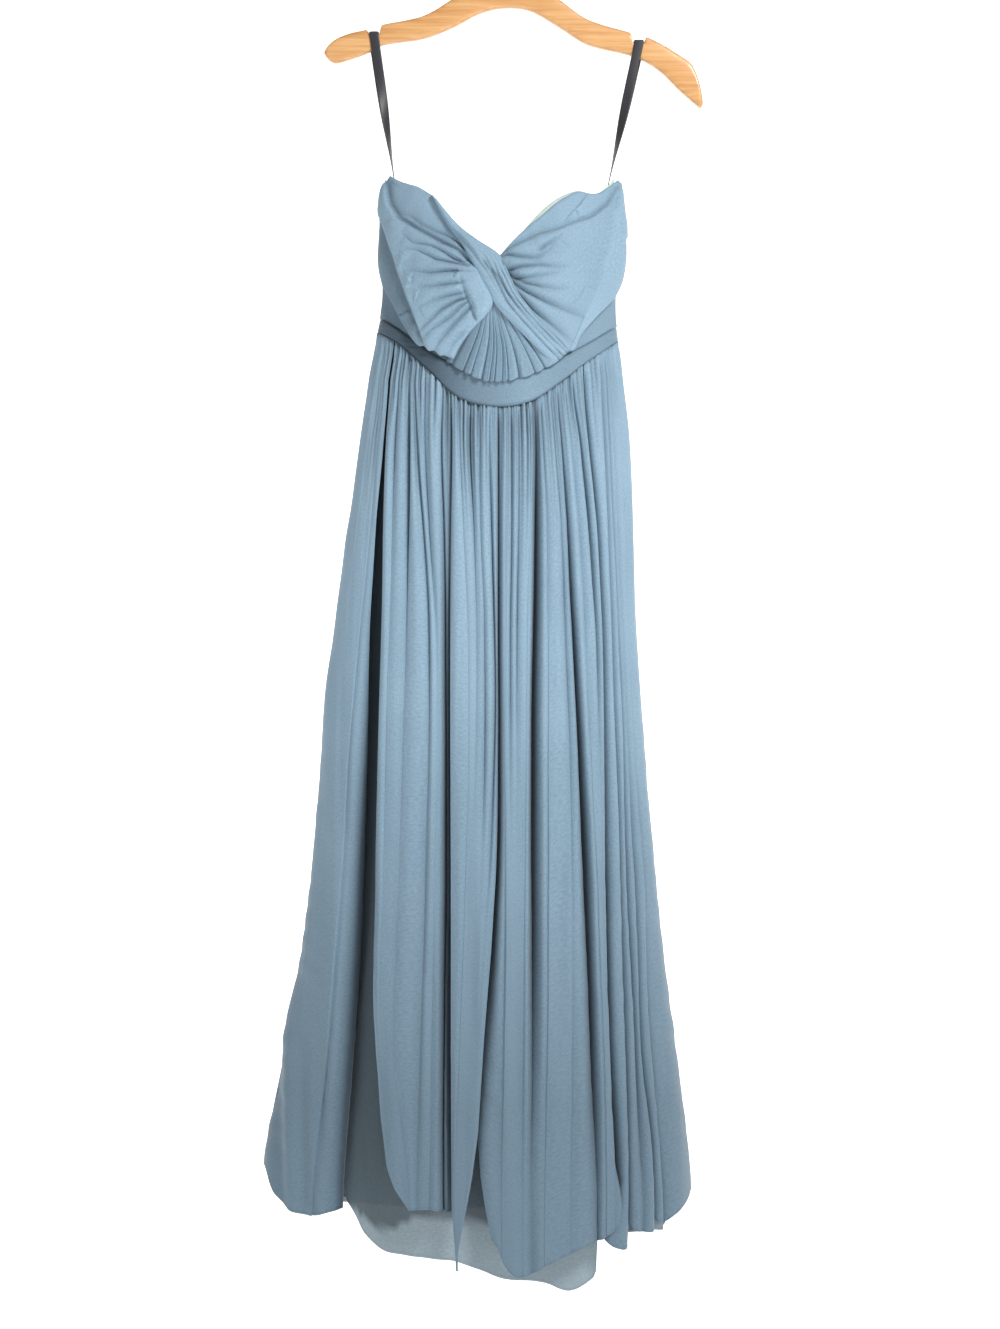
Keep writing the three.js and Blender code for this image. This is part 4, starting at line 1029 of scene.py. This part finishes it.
def back_plain(seed):
    """Relief of the plain back bodice: faint waves that die out at the side seam."""
    def relief(k, v, z, down):
        return under_front(k) + 0.3 * ripple(k * 150, z, seed, 22, 90) * np.clip(k / 0.1, 0, 1), 0 * k
    return relief


def back_seamed(k, v, z, down):
    """Relief of the back waistband: a sunk seam near both edges."""
    seam = -0.7 * (np.exp(-((v - 0.06) / 0.06) ** 2) + np.exp(-((v - 0.94) / 0.06) ** 2))
    return under_front(k) + seam, 0 * k


def back_folded(end, seed):
    """Relief of a gathered back panel: long folds, and small gathers under the waist."""
    folds = BACK_FOLDS[end]
    last = len(folds) - 1
    dice = np.random.default_rng(seed)
    depth = dice.uniform(*BACK_DEEP, len(folds))
    depth[0] = depth[-1] = 2
    soft = dice.uniform(*BACK_SOFT, (len(folds), 2))
    lean = dice.uniform(-0.02, 0.02, len(folds))

    def relief(k, v, z, down):
        wide = size_at(end, z) * HALF_ROUND
        sunk, shadow = 0 * k, 0 * k
        ease = np.clip(down / BACK_EASE, 0.16, 1)
        for i, fold in enumerate(folds):
            away = (k - fold - lean[i] * v * (0 < i < last)) * wide
            reach = np.where(away < 0, soft[i, 0], soft[i, 1]) * (0.6 + 0.8 * v)
            dip = depth[i] * ease * np.exp(-(np.abs(away) / reach) ** VALLEY_CURVE)
            sunk = sunk - dip
            shadow = shadow + dip
        for gather in np.arange(0.04, 0.98, 0.045):
            fade = np.exp(-(down / BACK_GATHER_LONG) ** 2)
            sunk = sunk - BACK_GATHER * fade * np.exp(-np.abs((k - gather) * wide) / BACK_GATHER)
        waves = ease * 1.4 * ripple(k * wide, z, seed + 5, 50, 500)
        sunk = sunk + 0.3 * ripple(k * wide, z, seed + 3, 10, 260) + waves
        tucked = BACK_TUCK * np.clip(k / 0.08, 0, 1) - BACK_TUCK
        # Painted shade in the folds' valleys.
        return sunk + tucked, np.clip(shadow / BACK_SHADE_FULL - 0.1, 0, 0.6)
    return relief


def back():
    """Back bodice, waistband and skirt panel on both sides of the zip."""
    for end, seed in (("left", 200), ("right", 240)):
        cloth("back_bodice_" + end, (40, 60), back_place(end, "neck", "band", SEAM_GAP, back_plain(seed)),
              CHIFFON, "bodice_back_" + end, (0.18, 0.17))
        cloth("waistband_back_" + end, (40, 16), back_place(end, "band", "waist", SEAM_GAP, back_seamed),
              CHIFFON, "band_back_" + end, (0.18, 0.024))
        cloth("back_panel_" + end, (200, 130), back_place(end, "waist", "hem", 0, back_folded(end, seed)),
              CHIFFON, "skirt_back_" + end, (0.38, 1.07),
              hem=True)


# Under-skirt

def under_place(u, v):
    """Places of the sheer under-skirt, all round inside the skirt."""
    angle = 2 * math.pi * (u - 0.25)
    sine, cosine = np.sin(angle), np.cos(angle)
    ahead, left = cosine > 0, sine < 0
    x = CENTRE_X + np.where(left, 150, 148) * sine
    front_top = seen(x, height_on(WAIST, x))[..., 2] - SEAM_GAP
    side_top = np.where(left, BACK_SIDE["left"]["waist"], BACK_SIDE["right"]["waist"])
    back_top = side_top + (BACK_MIDDLE["waist"] - side_top) * -cosine - SEAM_GAP
    back_top = back_top + UNDER_TUCK * np.clip(-cosine / 0.15, 0, 1)
    top = np.where(ahead, front_top, back_top)
    hem = np.full(u.shape, -1600.0)
    line = on_line(UNDER_FRONT, np.linspace(0, 1, 400))
    for _ in range(5):
        looks_x, _, near = looks_from_eye(skin(angle, hem, UNDER_OUT[-1][1]))
        hem = EYE_Z + (np.interp(looks_x, line[:, 0], line[:, 1]) - EYE_Z) * near
    side_hem = np.where(left, *UNDER_SIDE_HEM)
    back_hem = side_hem + (UNDER_BACK_HEM - side_hem) * -cosine
    front = np.clip(cosine / 0.25, 0, 1)
    hem = np.where(ahead, hem * front + side_hem * (1 - front), back_hem)
    z = top * (1 - v) + hem * v
    out = np.interp(v, [at for at, _ in UNDER_OUT], [far for _, far in UNDER_OUT])
    wave = 2.6 * v * np.sin(17 * angle + 0.9 * np.sin(5 * angle)) + 0.5 * v * np.sin(53 * angle + 9 * v)
    spot = skin(angle, z, out + wave)
    looks_x, looks_z, _ = looks_from_eye(spot)
    # Above the lining's hem the sheer darkens: partly the real layering over the lining, partly painted shade
    # in the recess behind the panels. Inside at the back it takes an even painted shade.
    lined_and_shaded = np.clip((looks_z - height_on(LINING_HEM, looks_x)) / 5 + 0.5, 0, 1)
    return spot, np.where(ahead, 0.04 + 0.72 * lined_and_shaded, 0.3)


def under_skirt():
    cloth("under_skirt", (400, 110), under_place, SHEER, "skirt_under", (1.1, 1.12),
          hem=True, ring=True)


# Hanger, loops and zip

def arm_edges(x):
    """Upper and lower edge of the hanger's arms, with the notches cut into the upper one."""
    line = on_line(ARM, np.linspace(0, 1, 400))
    top, low = np.interp(x, line[:, 0], line[:, 1]), np.interp(x, line[:, 0], line[:, 2])
    for middle, wide, floor in NOTCHES:
        cut = min(1.0, max(0.0, (wide / 2 + 1 - abs(x - middle)) / 2))
        top = top + (min(top, floor) - top) * cut
    return float(top), float(low)


def arm_place(t, s):
    """Place at a fraction t along the arms and s round them: flat, with well-rounded edges and ends."""
    x = ARM[0][0] + (ARM[-1][0] - ARM[0][0]) * t
    top, low = arm_edges(x)
    to_end = min(t, 1 - t)
    end = math.sqrt(max(0.0, 1 - (1 - to_end / ARM_TIP) ** 2)) if to_end < ARM_TIP else 1.0
    middle, half = (top + low) / 2, (top - low) / 2 * (0.25 + 0.75 * end)
    turn = 2 * math.pi * s
    across, up = (abs(part) ** ARM_SQUARE * math.copysign(1, part)
                  for part in (math.cos(turn), math.sin(turn)))
    return x * MM, ARM_HALF_THICK * across * (0.3 + 0.7 * end) * MM, (middle + half * up) * MM


def hanger_arms():
    """Two flat, rounded arms with a notch in each: a grid whose long edges meet, with its ends closed."""
    shape = bmesh.new()
    bmesh.ops.create_grid(shape, x_segments=260, y_segments=40, size=0.5)
    for vert in shape.verts:
        vert.co = arm_place(vert.co.x + 0.5, vert.co.y + 0.5)
    bmesh.ops.remove_doubles(shape, verts=shape.verts, dist=1e-6)
    bmesh.ops.holes_fill(shape, edges=[e for e in shape.edges if e.is_boundary])
    bmesh.ops.recalc_face_normals(shape, faces=shape.faces)
    mesh = bpy.data.meshes.new("hanger_arms")
    shape.to_mesh(mesh)
    shape.free()
    smooth(mesh)
    mesh.materials.append(WOOD)
    finish_piece(bpy.data.objects.new("hanger_arms", mesh), "hanger_body")


def hook_wire():
    """The bent wire hook: a short stem that leans into a round bow."""
    path = bpy.data.curves.new("hook_wire", "CURVE")
    path.dimensions = "3D"
    path.bevel_depth = WIRE_THICK / 2 * MM
    path.bevel_resolution = 5
    path.use_fill_caps = True
    bow = [(HOOK_ROUND * math.cos(math.radians(a)), HOOK_ROUND * math.sin(math.radians(a)) + HOOK_MIDDLE)
           for a in range(-40, 203, 22)]
    spots = HOOK_STEM + bow
    line = path.splines.new("BEZIER")
    line.bezier_points.add(len(spots) - 1)
    for point, (x, z) in zip(line.bezier_points, spots):
        point.co = (x * MM, 0, z * MM)
        point.handle_left_type = point.handle_right_type = "AUTO"
    path.materials.append(STEEL)
    finish_piece(bpy.data.objects.new("hook_wire", path), "hanger_hook")


def loop_place(top, low, side):
    """Places along a ribbon loop: up one face of the arm, over the notch, and down the other."""
    stops = []
    start = low[0] + LOOP_SPREAD * side
    for i in range(LOOP_STEPS + 1):
        t = i / LOOP_STEPS
        s = min(1, t / 0.82)
        untwisted = s * s * (3 - 2 * s)
        x = start + (top[0] - start) * t
        z = low[1] + (top[1] - LOOP_EDGE - low[1]) * t
        stops.append((x, -LOOP_REACH * min(1, t * 1.25), z, side * math.pi / 2 * (1 - untwisted)))
    over = [(-LOOP_REACH, 0.2), (0.6 - LOOP_REACH, 0.8), (0, 0.9), (LOOP_REACH - 0.6, 0.8), (LOOP_REACH, 0.2)]
    middle = [(top[0], y, top[1] + z, 0) for y, z in over]
    behind = [(x - 2 * LOOP_SPREAD * side * (1 - i / LOOP_STEPS), -y, z, turn)
              for i, (x, y, z, turn) in enumerate(reversed(stops))]
    line = np.array(stops + middle + behind, float)

    def place(u, v):
        spot = on_line(line, v)
        after, before = on_line(line, np.clip(v + 0.004, 0, 1)), on_line(line, np.clip(v - 0.004, 0, 1))
        ahead = after[:, :3] - before[:, :3]
        ahead /= np.linalg.norm(ahead, axis=1)[:, None]
        wide = np.stack((np.cos(spot[:, 3]), np.sin(spot[:, 3]), 0 * v), -1)
        wide -= ahead * np.sum(wide * ahead, axis=1)[:, None]
        wide /= np.linalg.norm(wide, axis=1)[:, None]
        curl = 0.35 * (2 * u - 1) ** 2
        normal = np.cross(ahead, wide)
        return spot[:, :3] + wide * ((u - 0.5) * RIBBON_WIDE)[:, None] + normal * curl[:, None], 0 * u
    return place


def loops():
    for name, (top, low, side) in LOOPS.items():
        cloth("ribbon_" + name, (10, 150), loop_place(top, low, side), RIBBON, name, (0.011, 0.39),
              thick=RIBBON_THICK)


def zip_parts():
    """The zip keeps its solids and gets its own finishes."""
    for name, material in (("zip_tape", TAPE), ("zip_slider", STEEL), ("zip_pull", STEEL)):
        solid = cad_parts[name]
        solid.data.materials.clear()
        solid.data.materials.append(material)


# Stage and light

# Places of the floor and the wall, in metres.
FLOOR_Z, WALL_Y = -1.78, 4.6


def backdrop():
    """A white floor under the gown and a white wall behind it."""
    white, _, _ = bare("matt white paint", Roughness=1.0, Base_Color=shade("#F3F3F3"),
                       Emission_Color=shade("#FFFFFF"), Emission_Strength=0.85)
    for name, at, turn in (("floor", (0, 0, FLOOR_Z), 0), ("wall", (0, WALL_Y, 0), math.pi / 2)):
        shape = bmesh.new()
        bmesh.ops.create_grid(shape, x_segments=1, y_segments=1, size=6)
        mesh = bpy.data.meshes.new(name)
        shape.to_mesh(mesh)
        shape.free()
        mesh.materials.append(white)
        obj = bpy.data.objects.new(name, mesh)
        obj.location = at
        obj.rotation_euler = (turn, 0, 0)
        bpy.context.collection.objects.link(obj)


def studio_light():
    """A key light from the upper right, a weak fill from the left and a dim white surround."""
    for name, at, aim, wide, power in (
            ("key", (1.3, -1.7, 0.95), (0, 0, -0.8), 0.7, 54),
            ("fill", (-2.0, -2.2, -0.4), (0, 0, -0.9), 1.4, 10)):
        light = bpy.data.lights.new(name, "AREA")
        light.shape = "SQUARE"
        light.size = wide
        light.energy = power
        lamp = bpy.data.objects.new(name, light)
        lamp.location = at
        way = np.array(aim) - np.array(at)
        tilt, heading = math.acos(-way[2] / np.linalg.norm(way)), math.atan2(way[1], way[0])
        lamp.rotation_euler = (tilt, 0, heading - math.pi / 2)
        bpy.context.collection.objects.link(lamp)
    world = bpy.data.worlds.new("studio")
    world.use_nodes = True
    surround = world.node_tree.nodes["Background"]
    surround.inputs["Color"].default_value = shade("#FFFFFF")
    surround.inputs["Strength"].default_value = 0.15
    bpy.context.scene.world = world


bodice()
skirt()
back()
under_skirt()
hanger_arms()
hook_wire()
loops()
zip_parts()
backdrop()
studio_light()

bpy.context.view_layer.update()
